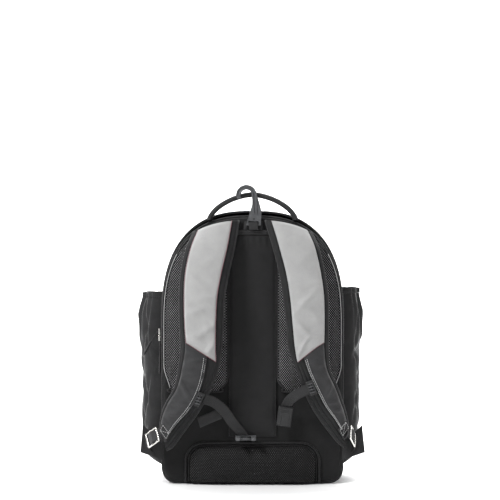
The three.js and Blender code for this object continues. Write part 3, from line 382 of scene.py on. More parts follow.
class Finish:
    """A procedural material, made node by node round its Principled shader."""

    def __init__(self, name, colour, roughness, **fixed):
        self.material = bpy.data.materials.new(name)
        self.material.use_nodes = True
        self.nodes = self.material.node_tree.nodes
        self.links = self.material.node_tree.links
        self.shader = self.nodes["Principled BSDF"]
        self.shader.inputs["Base Color"].default_value = (*colour, 1)
        self.shader.inputs["Roughness"].default_value = roughness
        for socket, value in fixed.items():
            self.shader.inputs[socket.replace("_", " ").title().replace("Ior", "IOR")].default_value = value
        self.bump = None

    def node(self, kind, **settings):
        made = self.nodes.new(kind)
        for name, value in settings.items():
            setattr(made, name, value)
        return made

    def feed(self, socket, value):
        if hasattr(value, "is_output"):
            self.links.new(value, socket)
        else:
            socket.default_value = value

    def maths(self, operation, a, b=0.0, c=0.0):
        made = self.node("ShaderNodeMath", operation=operation)
        for socket, value in zip(made.inputs, (a, b, c)):
            self.feed(socket, value)
        return made.outputs[0]

    def place(self, source):
        """Object coordinates or the piece's own UV map, in metres."""
        return self.node("ShaderNodeTexCoord").outputs[source]

    def split(self, vector):
        made = self.node("ShaderNodeSeparateXYZ")
        self.links.new(vector, made.inputs[0])
        return made.outputs[0], made.outputs[1]

    def cloud(self, scale, detail):
        """Smooth noise in the bag's own coordinates, which are in metres."""
        made = self.node("ShaderNodeTexNoise")
        self.links.new(self.place("Object"), made.inputs["Vector"])
        made.inputs["Scale"].default_value = scale
        made.inputs["Detail"].default_value = detail
        made.inputs["Roughness"].default_value = 0.55
        return made.outputs["Fac"]

    def wave(self, value, period):
        """A sine wave from 0 to 1 with a period in metres."""
        turned = self.maths("SINE", self.maths("MULTIPLY", value, 2 * math.pi / period))
        return self.maths("MULTIPLY_ADD", turned, 0.5, 0.5)

    def ramp(self, value, stops):
        made = self.node("ShaderNodeValToRGB")
        self.links.new(value, made.inputs[0])
        ends = made.color_ramp.elements
        while len(ends) < len(stops):
            ends.new(0.5)
        for end, (position, colour) in zip(ends, stops):
            end.position = position
            end.color = (*colour, 1)
        return made.outputs[0]

    def mix(self, share, a, b, mode="MIX"):
        made = self.node("ShaderNodeMix", data_type="RGBA", blend_type=mode)
        self.feed(made.inputs[0], share)
        self.feed(made.inputs[6], a)
        self.feed(made.inputs[7], b)
        return made.outputs[2]

    def colour(self, value):
        self.links.new(value, self.shader.inputs["Base Color"])

    def roughness(self, value, low, high):
        spread = self.maths("MULTIPLY_ADD", value, high - low, low)
        self.links.new(spread, self.shader.inputs["Roughness"])

    def relief(self, height, millimetres, strength=1.0):
        """Adds a bump of a real depth on top of those before it."""
        made = self.node("ShaderNodeBump")
        made.inputs["Strength"].default_value = strength
        made.inputs["Distance"].default_value = millimetres * MM
        self.links.new(height, made.inputs["Height"])
        if self.bump:
            self.links.new(self.bump, made.inputs["Normal"])
        self.bump = made.outputs[0]
        self.links.new(self.bump, self.shader.inputs["Normal"])


def tone(colour, factor):
    return tuple(min(channel * factor, 1.0) for channel in colour)


def woven_cloth(name, colour, roughness, thread_mm, contrast=0.25, sheen=0.08, soft_mm=0.5):
    """Plain woven cloth: over and under threads, uneven dye and a slightly crumpled hand."""
    looks = {"sheen_weight": sheen, "sheen_roughness": 0.45, "specular_ior_level": 0.2}
    finish = Finish(name, colour, roughness, **looks)
    across, along = finish.split(finish.place("UV"))
    weave = finish.maths(
        "MULTIPLY", finish.wave(across, 2 * thread_mm * MM), finish.wave(along, 2 * thread_mm * MM)
    )
    uneven = finish.cloud(45, 4)
    shade = finish.ramp(uneven, [(0.3, tone(colour, 1 - contrast)), (0.7, tone(colour, 1 + contrast))])
    threads = finish.ramp(weave, [(0.0, tone((1, 1, 1), 0.82)), (0.6, (1, 1, 1))])
    finish.colour(finish.mix(1.0, shade, threads, "MULTIPLY"))
    finish.roughness(uneven, roughness - 0.06, roughness + 0.08)
    finish.relief(finish.cloud(70, 5), soft_mm)
    finish.relief(weave, 0.12, 0.6)
    return finish.material


def spacer_mesh(name, colour, light, period_mm, roughness=0.75):
    """Open air mesh: a diamond lattice of knit threads round holes darkened with painted shade, and painted
    highlights on the knots where the threads cross.
    """
    finish = Finish(name, colour, roughness, sheen_weight=0.05, specular_ior_level=0.15)
    across, along = finish.split(finish.place("UV"))
    period = period_mm * MM
    rising = finish.wave(finish.maths("ADD", across, finish.maths("MULTIPLY", along, 0.8)), period)
    falling = finish.wave(finish.maths("SUBTRACT", across, finish.maths("MULTIPLY", along, 0.8)), period)
    knit = finish.maths("MAXIMUM", rising, falling)
    knot = finish.maths("MULTIPLY", rising, falling)
    uneven = finish.cloud(35, 3)
    # Painted shade: the holes are a far darker copy of the thread colour.
    threads = finish.ramp(knit, [(0.5, tone(colour, 0.12)), (0.9, colour)])
    # Painted highlights: the light colour is added where the threads cross.
    lit = finish.ramp(knot, [(0.45, (0, 0, 0)), (0.85, light)])
    shade = finish.ramp(uneven, [(0.3, (0.75, 0.75, 0.75)), (0.7, (1, 1, 1))])
    finish.colour(finish.mix(1.0, finish.mix(1.0, threads, lit, "ADD"), shade, "MULTIPLY"))
    finish.relief(finish.maths("ADD", knit, knot), 0.5, 0.9)
    return finish.material


def ribbed_webbing(name, colour, rib_mm=1.5, roughness=0.6):
    """Woven nylon webbing: ribs across its length, with finer threads in them. Painted shade darkens the
    rib grooves and a painted highlight lightens the crests.
    """
    finish = Finish(name, colour, roughness, sheen_weight=0.06, specular_ior_level=0.25)
    across, along = finish.split(finish.place("UV"))
    rib = finish.wave(along, rib_mm * MM)
    thread = finish.wave(finish.maths("ADD", across, finish.maths("MULTIPLY", along, 0.5)), 0.9 * MM)
    # Painted shade and highlight: darker in the rib grooves, lighter on the crests, in step with the rib
    # bump.
    shade = finish.ramp(rib, [(0.1, tone(colour, 0.5)), (0.8, tone(colour, 1.35))])
    uneven = finish.ramp(finish.cloud(60, 3), [(0.3, (0.8, 0.8, 0.8)), (0.7, (1, 1, 1))])
    finish.colour(finish.mix(1.0, shade, uneven, "MULTIPLY"))
    finish.relief(rib, 0.35, 0.8)
    finish.relief(thread, 0.12, 0.5)
    return finish.material


def moulded_plastic(name, colour, roughness, grain_mm=0.05):
    """Injection-moulded nylon: a fine grain, faint flow marks and slightly worn, glossier highs."""
    finish = Finish(name, colour, roughness, specular_ior_level=0.4)
    flow = finish.cloud(90, 4)
    finish.colour(finish.ramp(flow, [(0.3, tone(colour, 0.85)), (0.7, tone(colour, 1.15))]))
    finish.roughness(flow, roughness - 0.08, roughness + 0.1)
    finish.relief(finish.cloud(1800, 2), grain_mm, 0.4)
    return finish.material


def plated_metal(name, colour, roughness):
    """Nickel plate over a cast part: bright, with faint haze and polishing scratches."""
    finish = Finish(name, colour, roughness, metallic=1.0)
    haze = finish.cloud(160, 4)
    finish.colour(finish.ramp(haze, [(0.3, tone(colour, 0.88)), (0.7, tone(colour, 1.05))]))
    finish.roughness(haze, roughness - 0.05, roughness + 0.12)
    finish.relief(finish.cloud(2600, 2), 0.03, 0.3)
    return finish.material


def twisted_thread(name, colour):
    """Sewing thread with a visible twist."""
    finish = Finish(name, colour, 0.55, sheen_weight=0.3)
    finish.colour(finish.ramp(finish.cloud(900, 2), [(0.3, tone(colour, 0.7)), (0.7, tone(colour, 1.3))]))
    return finish.material


def bag_finishes(colours):
    """Every finish of the bag, by name.

    A cloth's numbers are its roughness, its thread in millimetres, contrast, sheen and softness."""
    black, grey = tuple(colours.black_cloth), tuple(colours.grey_cloth)
    return {
        "cloth": woven_cloth("black_body_cloth", black, 0.62, 0.55, soft_mm=0.8),
        # The panel is a darker copy of the black cloth: painted shade for the shade it lies in.
        "panel": woven_cloth("black_panel_cloth", tone(black, 0.34), 0.7, 0.55, 0.2),
        "pocket": woven_cloth("black_pocket_cloth", tone(black, 0.9), 0.46, 0.5, 0.2, 0.1, 1.0),
        # The sleeve is a darker copy of the black cloth: painted shade for the shadow it lies in.
        "sleeve": woven_cloth("black_sleeve_cloth", tone(black, 0.6), 0.7, 0.45, 0.15),
        "cover": woven_cloth("black_cover_cloth", tone(black, 1.45), 0.55, 0.55, 0.2, 0.1, 0.9),
        "grey": woven_cloth("grey_cover_cloth", grey, 0.6, 0.6, 0.06, 0.2, 0.6),
        # The air mesh's second colour is the painted highlight on its knots.
        "mesh": spacer_mesh("black_air_mesh", tone(black, 0.75), (0.38, 0.38, 0.385), 4.2),
        # The strap foam is a darker copy of the black cloth: painted shade for the shade on the straps'
        # sides.
        "strap_foam": woven_cloth("black_strap_foam_cloth", tone(black, 0.6), 0.7, 0.5, 0.2),
        # The lumbar mesh is a much darker copy of the black cloth, painted shade, and its second colour is
        # a faint painted highlight on its knots.
        "lumbar_mesh": spacer_mesh("black_lumbar_mesh", tone(black, 0.22), (0.06, 0.06, 0.061), 4.2),
        "edging": ribbed_webbing("black_binding_tape", tone(black, 0.95), 1.2),
        "webbing": ribbed_webbing("black_webbing", tuple(colours.webbing), 1.5),
        "piping": woven_cloth("black_piping", tone(black, 0.6), 0.5, 0.4, 0.1),
        "contrast": twisted_thread("maroon_edge_thread", tuple(colours.edge_thread)),
        "thread": twisted_thread("grey_sewing_thread", (0.4, 0.4, 0.4)),
        "zip": ribbed_webbing("black_zip_tape", tone(black, 0.7), 0.8),
        "plastic": moulded_plastic("dark_grey_hook_plastic", tuple(colours.plastic), 0.38),
        "buckle": moulded_plastic("black_buckle_plastic", tone(tuple(colours.plastic), 0.2), 0.5),
        "nickel": plated_metal("polished_nickel", tuple(colours.nickel), 0.22),
    }


# Sizes and colours that a user would change


class BagSizes(bpy.types.PropertyGroup):
    """How finely the bag is made and how soft it looks."""

    fineness: bpy.props.FloatProperty(
        name="Fineness",
        description="How fine the meshes are, against the usual",
        default=1.0,
        min=0.3,
        max=1.5,
    )
    crumple: bpy.props.FloatProperty(
        name="Crumple",
        description="Depth of the soft folds in the cloth",
        default=0.0016,
        min=0.0,
        unit="LENGTH",
    )
    stitch_length: bpy.props.FloatProperty(
        name="Stitch Length",
        description="Length of one visible stitch",
        default=0.0026,
        min=0.001,
        unit="LENGTH",
    )
    piping_radius: bpy.props.FloatProperty(
        name="Piping Radius",
        description="Radius of the cord in the panel's seam",
        default=0.0021,
        unit="LENGTH",
    )
    handle_radius: bpy.props.FloatProperty(
        name="Handle Radius",
        description="Radius of the haul handle's cord",
        default=0.0052,
        unit="LENGTH",
    )


class BagColours(bpy.types.PropertyGroup):
    """The bag's colours."""

    black_cloth: bpy.props.FloatVectorProperty(
        name="Black Cloth",
        description="Body, pockets and covers",
        subtype="COLOR",
        default=(0.022, 0.022, 0.023),
    )
    grey_cloth: bpy.props.FloatVectorProperty(
        name="Grey Cloth",
        description="Upper covers of the straps",
        subtype="COLOR",
        default=(0.36, 0.36, 0.358),
    )
    webbing: bpy.props.FloatVectorProperty(
        name="Webbing",
        description="Straps, tabs and wings",
        subtype="COLOR",
        default=(0.022, 0.022, 0.023),
    )
    edge_thread: bpy.props.FloatVectorProperty(
        name="Edge Thread",
        description="Thin line beside the grey",
        subtype="COLOR",
        default=(0.13, 0.03, 0.045),
    )
    plastic: bpy.props.FloatVectorProperty(
        name="Plastic",
        description="Hook and clips",
        subtype="COLOR",
        default=(0.075, 0.077, 0.081),
    )
    nickel: bpy.props.FloatVectorProperty(
        name="Nickel",
        description="Ladder locks and sliders",
        subtype="COLOR",
        default=(0.8, 0.79, 0.76),
    )


MADE = {}


def finish(name):
    """A finish by its name. They are all made once, when the first is asked for."""
    if not MADE:
        MADE.update(bag_finishes(bpy.context.scene.bag_colours))
    return MADE[name]


def steps(count):
    return max(int(count * bpy.context.scene.bag_sizes.fineness), 4)


def crumple():
    return bpy.context.scene.bag_sizes.crumple / MM


def node_box(node):
    """The low and the high corner of a CAD node's box, in millimetres."""
    low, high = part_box(node)
    return low / MM, high / MM


def add_piece(name, bm, material, nodes=()):
    return finish_piece(make_object(name, bm, finish(material)), nodes)


def sew(name, lines, material="thread", width=0.45):
    """Rows of stitches. Each line is a list of points in millimetres."""
    length = bpy.context.scene.bag_sizes.stitch_length / MM
    bm = bmesh.new()
    for line in lines:
        points = [Vector(point) for point in line]
        total = sum((b - a).length for a, b in zip(points, points[1:]))
        count = max(int(total / (length * 1.35)), 2)
        path = even_path(points, count)
        for a, b in zip(path, path[1:]):
            run = (b - a).normalized()
            turn = run.to_track_quat("Z", "Y").to_matrix().to_4x4()
            bmesh.ops.create_cone(
                bm,
                cap_ends=True,
                segments=6,
                radius1=width,
                radius2=width * 0.8,
                depth=length,
                matrix=Matrix.Translation((a + b) / 2) @ turn,
            )
    add_piece(name, bm, material)


def cord_piece(name, points, radius, material, nodes=(), sides=10, closed=False):
    """A cord, piping or thread that lies along the points."""
    add_piece(name, tube_mesh(points, radius, sides, closed), material, nodes)


def dressed_node(node, material, bevel_mm, segments=3):
    """A CAD node's shape with its edges rounded, as its mould or die leaves them."""
    bm = bmesh.new()
    bm.from_mesh(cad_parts[node].data)
    bmesh.ops.remove_doubles(bm, verts=bm.verts, dist=0.00002)
    bmesh.ops.dissolve_limit(bm, angle_limit=math.radians(4), verts=bm.verts, edges=bm.edges)
    sharp = [edge for edge in bm.edges if edge.is_manifold and edge.calc_face_angle(0) > math.radians(28)]
    bmesh.ops.bevel(
        bm,
        geom=sharp,
        offset=bevel_mm * MM,
        offset_type="OFFSET",
        affect="EDGES",
        segments=segments,
        profile=0.5,
        material=-1,
        clamp_overlap=True,
    )
    piece = make_object(f"{node}_finished", bm, finish(material), scale=1.0)
    weighted = piece.modifiers.new("even_shading", "WEIGHTED_NORMAL")
    weighted.keep_sharp = False
    return finish_piece(piece, [node])


# The body


def body_point(u, v):
    """A point of the body's wall: u round the outline, v from the back panel to the front."""
    point, outward = outline_at(SHELL_OUTLINE, u)
    turn = max(v - 0.75, 0) / 0.25
    inset = FRONT_ROUND * turn**3
    y = lerp(SHELL_REAR, shell_front(point.z), v)
    quiet = ramp(v, 0.1, 0.3) * (1 - ramp(v, 0.86, 0.98)) * ramp(point.z, 4, 60)
    soft = ripple(point.x, y, point.z, 55, 2.0) + 0.5 * ripple(point.x, y, point.z, 24, 5.0)
    pull = ripple(point.x, y * 0.12, point.z, 17, 9.0) * (1 - ramp(abs(v - 0.2), 0.0, 0.14))
    lift = crumple() * (soft * quiet + 0.5 * pull * ramp(point.z, 30, 90)) - inset
    side = math.copysign(1, point.x) if abs(point.x) > 1 else 0
    x = point.x + outward.x * lift - side * recess_at(y, point.z)
    return x, y, max(point.z + outward.z * lift, 0.0)


def add_body_wall():
    bm = sheet_mesh(body_point, steps(420), steps(56), (1690, 146), weld=True)
    bmesh.ops.solidify(bm, geom=bm.faces[:], thickness=1.6)
    nodes = ["gusset_top", "gusset_left", "gusset_right", "base_panel"]
    add_piece("body_wall", bm, "cloth", nodes)


def add_back_panel():
    place = filled_outline(PANEL_OUTLINE, (0, 255))

    def front(u, v):
        x, z, out = place(u, v)
        edge = 3.2 * ramp(out, 0.955, 1.0) ** 2
        soft = 0.5 * ripple(x, 0, z, 46, 1.0) + 0.25 * ripple(x, 0, z, 20, 4.0)
        drag = 1.2 * crease(x, z, -150, 120, 62, 46, 7) + 1.2 * crease(x, z, 152, 118, 118, 46, 7)
        return x, REAR + 0.9 + edge - soft - drag, z

    def back(u, v):
        x, z, _ = place(u, v)
        return x, REAR + PANEL_THICK, z

    bm = pad_mesh(front, back, steps(150), steps(150), (350, 520))
    add_piece("back_panel_cloth", flat_uv(bm), "panel", ["back_panel"])


def add_front_panel():
    path = closed_outline(SHELL_HALF - 9.5, SHELL_TOP - 9.5, 9.5, CORNER - 8)
    place = filled_outline(path, (0, 250))

    def surface(u, v):
        x, z, out = place(u, v)
        soft = ripple(x, 0, z, 70, 6.0) + 0.4 * ripple(x, 0, z, 28, 3.0)
        return x, shell_front(z) + 1.9 + crumple() * 0.8 * soft * (1 - ramp(out, 0.8, 1)), z

    bm = sheet_mesh(surface, steps(110), steps(110), (336, 520), thickness=-1.6)
    add_piece("front_panel_cloth", flat_uv(bm), "cloth", ["front_panel"])
    seam = []
    for i in range(300):
        point, outward = outline_at(path, i / 300)
        seam.append(point + outward * 1.4 + Vector((0, shell_front(point.z) + 1.4, 0)))
    cord_piece("front_seam_piping", seam, 1.9, "piping", closed=True)


def add_panel_piping():
    radius = bpy.context.scene.bag_sizes.piping_radius / MM
    cords = (("rear", REAR + 9.4, 1.9, radius), ("outer", REAR + 13.2, 2.2, radius * 0.8))
    for name, y, out, size in cords:
        ring = []
        for i in range(420):
            point, outward = outline_at(PANEL_OUTLINE, i / 420)
            ring.append(point + outward * out + Vector((0, y, 0)))
        nodes = ["panel_piping"] if name == "rear" else []
        cord_piece(f"panel_piping_{name}", ring, size, "edging", nodes, closed=True)


def compartment_point(u, v):
    """The front compartment: u across, v from its foot up."""
    z = lerp(COMPARTMENT_FOOT, COMPARTMENT_TOP, v)
    narrow = 1 - 0.2 * v**3 - 0.22 * abs(2 * v - 1) ** 12
    x = (2 * u - 1) * COMPARTMENT_HALF * narrow
    bulge = (1 - abs(2 * u - 1) ** 3.4) ** (1 / 3.4) * (1 - abs(2 * v - 1) ** 4.5) ** (1 / 4.5)
    depth = (COMPARTMENT_DEPTH - 3) * (1 - 0.45 * v) * bulge
    soft = ripple(x, depth, z, 60, 8.0) + 0.6 * ripple(x, depth, z, 26, 1.0)
    sag = 3.2 * crease(x, z, -20, 120, 8, 90, 12) + 2.2 * crease(x, z, 50, 205, -14, 60, 9)
    lift = (crumple() * 1.6 * soft - sag) * ramp(bulge, 0.25, 0.9)
    return x, shell_front(z) + 3.4 + depth + lift, z


def eased(share):
    """Draws a grid's rows closer together towards both ends."""
    return (1 - math.cos(math.pi * share)) / 2


def add_front_compartment():
    def surface(u, v):
        return compartment_point(eased(u), eased(v))

    bm = sheet_mesh(surface, steps(130), steps(150), (380, 440), thickness=-1.6)
    add_piece("front_compartment_cloth", bm, "cloth", ["front_compartment"])
    for name, edge in (("rim", 0.012), ("ridge", 0.16)):
        ring = []
        for i in range(260):
            a = 2 * math.pi * i / 260
            across = 0.5 + (0.5 - edge * 0.5) * power(math.cos(a), 0.28)
            up = 0.5 + (0.5 - edge * 0.35) * power(math.sin(a), 0.28)
            point = Vector(compartment_point(min(max(across, 0), 1), min(max(up, 0), 1)))
            ring.append(point + Vector((0, 0.6, 0)))
        cord_piece(f"compartment_{name}_piping", smooth_ring(ring), 1.9, "piping", closed=True)


def smooth_ring(points):
    for _ in range(3):
        count = len(points)
        points = [(points[i - 1] + points[i] * 2 + points[(i + 1) % count]) / 4 for i in range(count)]
    return points


# Zippers. The front one's places are shares of the compartment's width and height.

FRONT_ZIP_START, FRONT_ZIP_LOW, FRONT_ZIP_HIGH = 0.155, 0.655, 0.692


def zip_ring(start, count):
    """Points and outward directions along the body's outline, from one zipper end over the top."""
    marks = [i for i in range(len(SHELL_OUTLINE)) if SHELL_OUTLINE[i].z >= start]
    low, high = marks[0] / (len(SHELL_OUTLINE) - 1), marks[-1] / (len(SHELL_OUTLINE) - 1)
    return [outline_at(SHELL_OUTLINE, lerp(low, high, i / count)) for i in range(count + 1)]


def add_main_zipper():
    ring = zip_ring(ZIP_END, steps(300))
    last = len(ring) - 1
    for name, near, far in (("rear", 0.0, 0.44), ("front", 0.56, 1.0)):

        def surface(lift):
            def place(u, v):
                point, outward = ring[round(v * last)]
                rise = lift + 0.9 * ramp(abs(u - 0.5), 0.5, 0.3)
                y = ZIP_NEAR + ZIP_WIDTH * lerp(near, far, u)
                return point.x + outward.x * rise, y, point.z + outward.z * rise

            return place

        bm = pad_mesh(surface(1.4), surface(0.5), 6, last, (9, 800))
        nodes = ["main_zipper"] if name == "rear" else []
        add_piece(f"main_zipper_tape_{name}", bm, "zip", nodes)
    bm = bmesh.new()
    teeth = zip_ring(ZIP_END, steps(430))
    for i, (point, outward) in enumerate(teeth):
        lean = 1.1 if i % 2 else -1.1
        centre = point + outward * 2.4 + Vector((0, ZIP_NEAR + ZIP_WIDTH / 2 + lean, 0))
        turn = Matrix.Rotation(math.atan2(outward.x, outward.z), 4, "Y")
        shape = Matrix.Translation(centre) @ turn @ Matrix.Diagonal((1.1, 4.4, 1.8, 1))
        bmesh.ops.create_icosphere(bm, subdivisions=1, radius=0.62, matrix=shape)
    add_piece("main_zipper_coil", bm, "buckle")
    lines = []
    for y in (ZIP_NEAR + 1.6, ZIP_NEAR + ZIP_WIDTH - 1.6):
        lines.append([point + outward * 1.9 + Vector((0, y, 0)) for point, outward in ring])
    sew("main_zipper_stitches", lines, width=0.35)


def add_front_zipper():
    count = steps(120)

    def spot(u, v, lift):
        across = lerp(FRONT_ZIP_START, 1 - FRONT_ZIP_START, u)
        point = Vector(compartment_point(eased_share(across), lerp(FRONT_ZIP_LOW, FRONT_ZIP_HIGH, v)))
        return point + Vector((0, lift, 0))

    for name, near, far in (("lower", 0.0, 0.42), ("upper", 0.58, 1.0)):
        bm = pad_mesh(
            lambda u, v: spot(v, lerp(near, far, u), 2.4),
            lambda u, v: spot(v, lerp(near, far, u), 1.2),
            5,
            count,
            (7, 200),
        )
        nodes = ["front_zipper"] if name == "lower" else []
        add_piece(f"front_zipper_tape_{name}", bm, "zip", nodes)
    bm = bmesh.new()
    for i in range(count + 1):
        centre = spot(i / count, 0.5, 2.6) + Vector((0, 0, 0.9 if i % 2 else -0.9))
        shape = Matrix.Translation(centre) @ Matrix.Diagonal((1.0, 1.5, 3.6, 1))
        bmesh.ops.create_icosphere(bm, subdivisions=1, radius=0.62, matrix=shape)
    add_piece("front_zipper_coil", bm, "buckle")
    top = spot(0.06, 0.5, 4.6)
    bm = bmesh.new()
    bmesh.ops.create_cube(bm, size=1, matrix=Matrix.Translation(top) @ Matrix.Diagonal((11, 3.4, 8, 1)))
    bmesh.ops.bevel(
        bm,
        geom=bm.edges[:],
        offset=1.4,
        affect="EDGES",
        segments=3,
        profile=0.5,
        material=-1,
        clamp_overlap=True,
    )
    add_piece("front_zipper_slider", bm, "nickel")
    hang = [top + Vector((0, 2.0 + 0.3 * i, -4.0 * i)) for i in range(10)]
    cord_piece("front_zipper_pull", hang, lambda s: 1.1 + 1.1 * ramp(s, 0.35, 0.5), "edging")


def eased_share(share):
    return lerp(share, eased(share), 0.5)


def add_zip_pulls():
    for node in ("zip_slider_lower", "zip_slider_upper"):
        dressed_node(node, "nickel", 1.2)
    slant = math.radians(PULL_SLANT)
    upright, slanted = [], []
    for i in range(17):
        x = UPRIGHT_PULL_X - 0.4 * math.sin(i * 0.5)
        upright.append(Vector((x, PULL_Y, UPRIGHT_PULL_Z - UPRIGHT_PULL_LENGTH * i / 16)))
        reach = SLANTED_PULL_LENGTH * i / 16
        bend = 1.2 * math.sin(math.pi * i / 16)
        x = SLANTED_PULL_X - reach * math.sin(slant) - bend
        slanted.append(Vector((x, PULL_Y, SLANTED_PULL_Z - reach * math.cos(slant))))
    for name, path in (("upright", upright), ("slanted", slanted)):

        def girth(share):
            grip = ramp(share, 0.42, 0.5) * (1 - ramp(share, 0.94, 1.0) * 0.5)
            return 0.95 + 1.15 * grip + 0.16 * grip * math.cos(share * 80)

        node = f"zip_pull_{name}"
        cord_piece(f"{node}_cord", smooth_path(path, 60), girth, "edging", [node])


# Pads on the back panel

CLOTH_FRAMES = 20


def inflate(piece, pressure, cap_mm, held):
    """Runs Blender's Cloth on a padded piece with air pressure in it, and applies the result.

    held says how firmly each vertex stays, and no point moves more than the cap."""
    before = [vert.co.copy() for vert in piece.data.vertices]
    group = piece.vertex_groups.new(name="sewn_down")
    for vert in piece.data.vertices:
        group.add([vert.index], held(vert.co / MM), "REPLACE")
    cloth = piece.modifiers.new("air", "CLOTH")
    settings = cloth.settings
    settings.quality = 5
    settings.mass = 0.25
    settings.tension_stiffness = 12
    settings.compression_stiffness = 12
    settings.bending_stiffness = 0.4
    settings.use_pressure = True
    settings.uniform_pressure_force = pressure
    settings.vertex_group_mass = group.name
    settings.effector_weights.gravity = 0
    cloth.point_cache.frame_start, cloth.point_cache.frame_end = 1, CLOTH_FRAMES
    scene = bpy.context.scene
    for frame in range(1, CLOTH_FRAMES + 1):
        scene.frame_set(frame)
    swollen = piece.evaluated_get(bpy.context.evaluated_depsgraph_get())
    after = [vert.co.copy() for vert in swollen.data.vertices]
    piece.modifiers.remove(cloth)
    scene.frame_set(1)
    for vert, old, new in zip(piece.data.vertices, before, after):
        move = new - old
        limit = cap_mm * MM
        if move.length > limit:
            move = move.normalized() * limit
        vert.co = old + move
    piece.vertex_groups.remove(piece.vertex_groups[group.name])


def mesh_pad_span(v):
    """A mesh pad's height, inner edge and outer edge at a share of its length."""
    z = lerp(PAD_FOOT, PAD_HEAD, v)
    near = SPINE_HALF + 0.6 + 16 * (1 - ramp(v, 0, 0.1)) ** 1.6
    far = panel_half(z) - PAD_MARGIN - 14 * (1 - ramp(v, -0.02, 0.18))
    return z, near, far


def add_mesh_pads():
    for name, sign in SIDES:

        def surface(lifted):
            def place(u, v):
                z, near, far = mesh_pad_span(v)
                x = lerp(near, far, u)
                rim = min(u, 1 - u) * (far - near)
                end = min(v, 1 - v) * (PAD_HEAD - PAD_FOOT)
                puff = ramp(rim, 0, 15) ** 0.7 * ramp(end, 0, 18) ** 0.7
                soft = 0.7 * ripple(x, 0, z, 40, 2.0 + sign) * puff
                depth = 0.3 + (1.6 + 6.2 * puff + soft if lifted else 0)
                return sign * x, REAR - depth, z

            return place

        bm = pad_mesh(surface(True), surface(False), steps(56), steps(150), (118, 300))
        node = f"mesh_pad_{name}"
        piece = add_piece(f"{node}_foam", flat_uv(bm), "mesh", [node])
        inflate(piece, 2.0, 2.0, lambda co: 1.0 if co.y > REAR - 2.2 else 0.0)
        spans = [mesh_pad_span(i / 40) for i in range(41)]
        edge = [(far, z) for z, _, far in reversed(spans)] + [(near, z) for z, near, _ in spans]
        path = [Vector((sign * x, REAR - 2.3, z)) for x, z in edge]
        cord_piece(f"{node}_binding", smooth_path(path, 200), 1.7, "edging")
        # A light grey cord along part of the pad's outer edge: a painted highlight on the binding's edge,
        # made in sewing-thread grey.
        rim = [point + Vector((sign * 0.6, -1.5, 0)) for point in path[4:40]]
        cord_piece(f"{node}_edge_thread", smooth_path(rim, 120), 0.6, "thread", sides=8)


def add_spine_sleeve():
    def surface(lift):
        def place(u, v):
            x, z = lerp(-SPINE_HALF + 1, SPINE_HALF - 1, u), lerp(SLEEVE_FOOT, SLEEVE_HEAD - 0.5, v)
            rim = ramp(min(u, 1 - u), 0, 0.1) * ramp(min(v, 1 - v), 0, 0.03)
            soft = 0.6 * ripple(x, 0, z, 60, 7.0) + 0.25 * ripple(x, 0, z, 22, 2.0)
            gather = 0.7 * math.cos(x * 0.5) * ramp(z, SLEEVE_HEAD - 30, SLEEVE_HEAD)
            return x, REAR - 0.3 - (lift * (0.6 + rim) + (soft + gather) * rim if lift else 0), z

        return place

    bm = pad_mesh(surface(1.5), surface(0), steps(60), steps(200), (96, 394))
    add_piece("spine_sleeve_cloth", bm, "sleeve", ["spine_sleeve"])
    for name, side in SIDES:
        path = [Vector((side * (SPINE_HALF - 3.2), REAR - 2.2, z)) for z in range(94, 486, 6)]
        cord_piece(f"spine_seam_{name}", path, 0.8, "piping", sides=8)


def add_sleeve_hem():
    def surface(lift):
        def place(u, v):
            x, z = lerp(-SPINE_HALF + 1, SPINE_HALF - 1, u), lerp(SLEEVE_HEAD + 0.3, HEM_TOP, v)
            rolls = 1.1 * abs(math.sin(2 * math.pi * v)) ** 0.6
            wave = 0.35 * math.sin(x * 0.55) + 0.3 * math.sin(x * 0.21 + 1)
            return x, REAR - 0.3 - (2.0 + rolls + wave * 0.5 if lift else 0), z + wave * 0.5 * v

        return place

    bm = pad_mesh(surface(True), surface(False), steps(80), 14, (96, 9))
    add_piece("sleeve_hem_cloth", bm, "edging", ["sleeve_hem"])
    for name, x, lean in (("left", -13.5, 1), ("right", 17.0, -1)):

        def pucker(lifted):
            def place(u, v):
                side = lerp(-4.6, 4.6, u) * (1 - 0.25 * v)
                bulge = math.cos(math.pi * (u - 0.5)) ** 0.6 if lifted and 0 < u < 1 else 0.0
                y = REAR - 0.6 - 3.2 * bulge * (1 - 0.6 * v)
                return x + side + lean * 1.5 * v, y, lerp(PUCKER_FOOT, PUCKER_HEAD, v)

            return place

        bm = pad_mesh(pucker(True), pucker(False), 14, 18, (9, 16))
        add_piece(f"tab_pucker_{name}", bm, "cloth")


def rounded_box(half, foot, top, corner, low_corner, count=300):
    """A closed outline with round corners, from the middle of its foot and back to it."""
    right = [Vector((x, 0, foot)) for x in (0, (half - low_corner) * 0.5)]
    right += foot_corner(half, foot, low_corner, 8)
    for i in range(17):
        a = math.pi / 2 * i / 16
        right.append(Vector((half - corner * (1 - math.cos(a)), 0, top - corner * (1 - math.sin(a)))))
    right.append(Vector((0, 0, top)))
    return whole_outline(right, count)


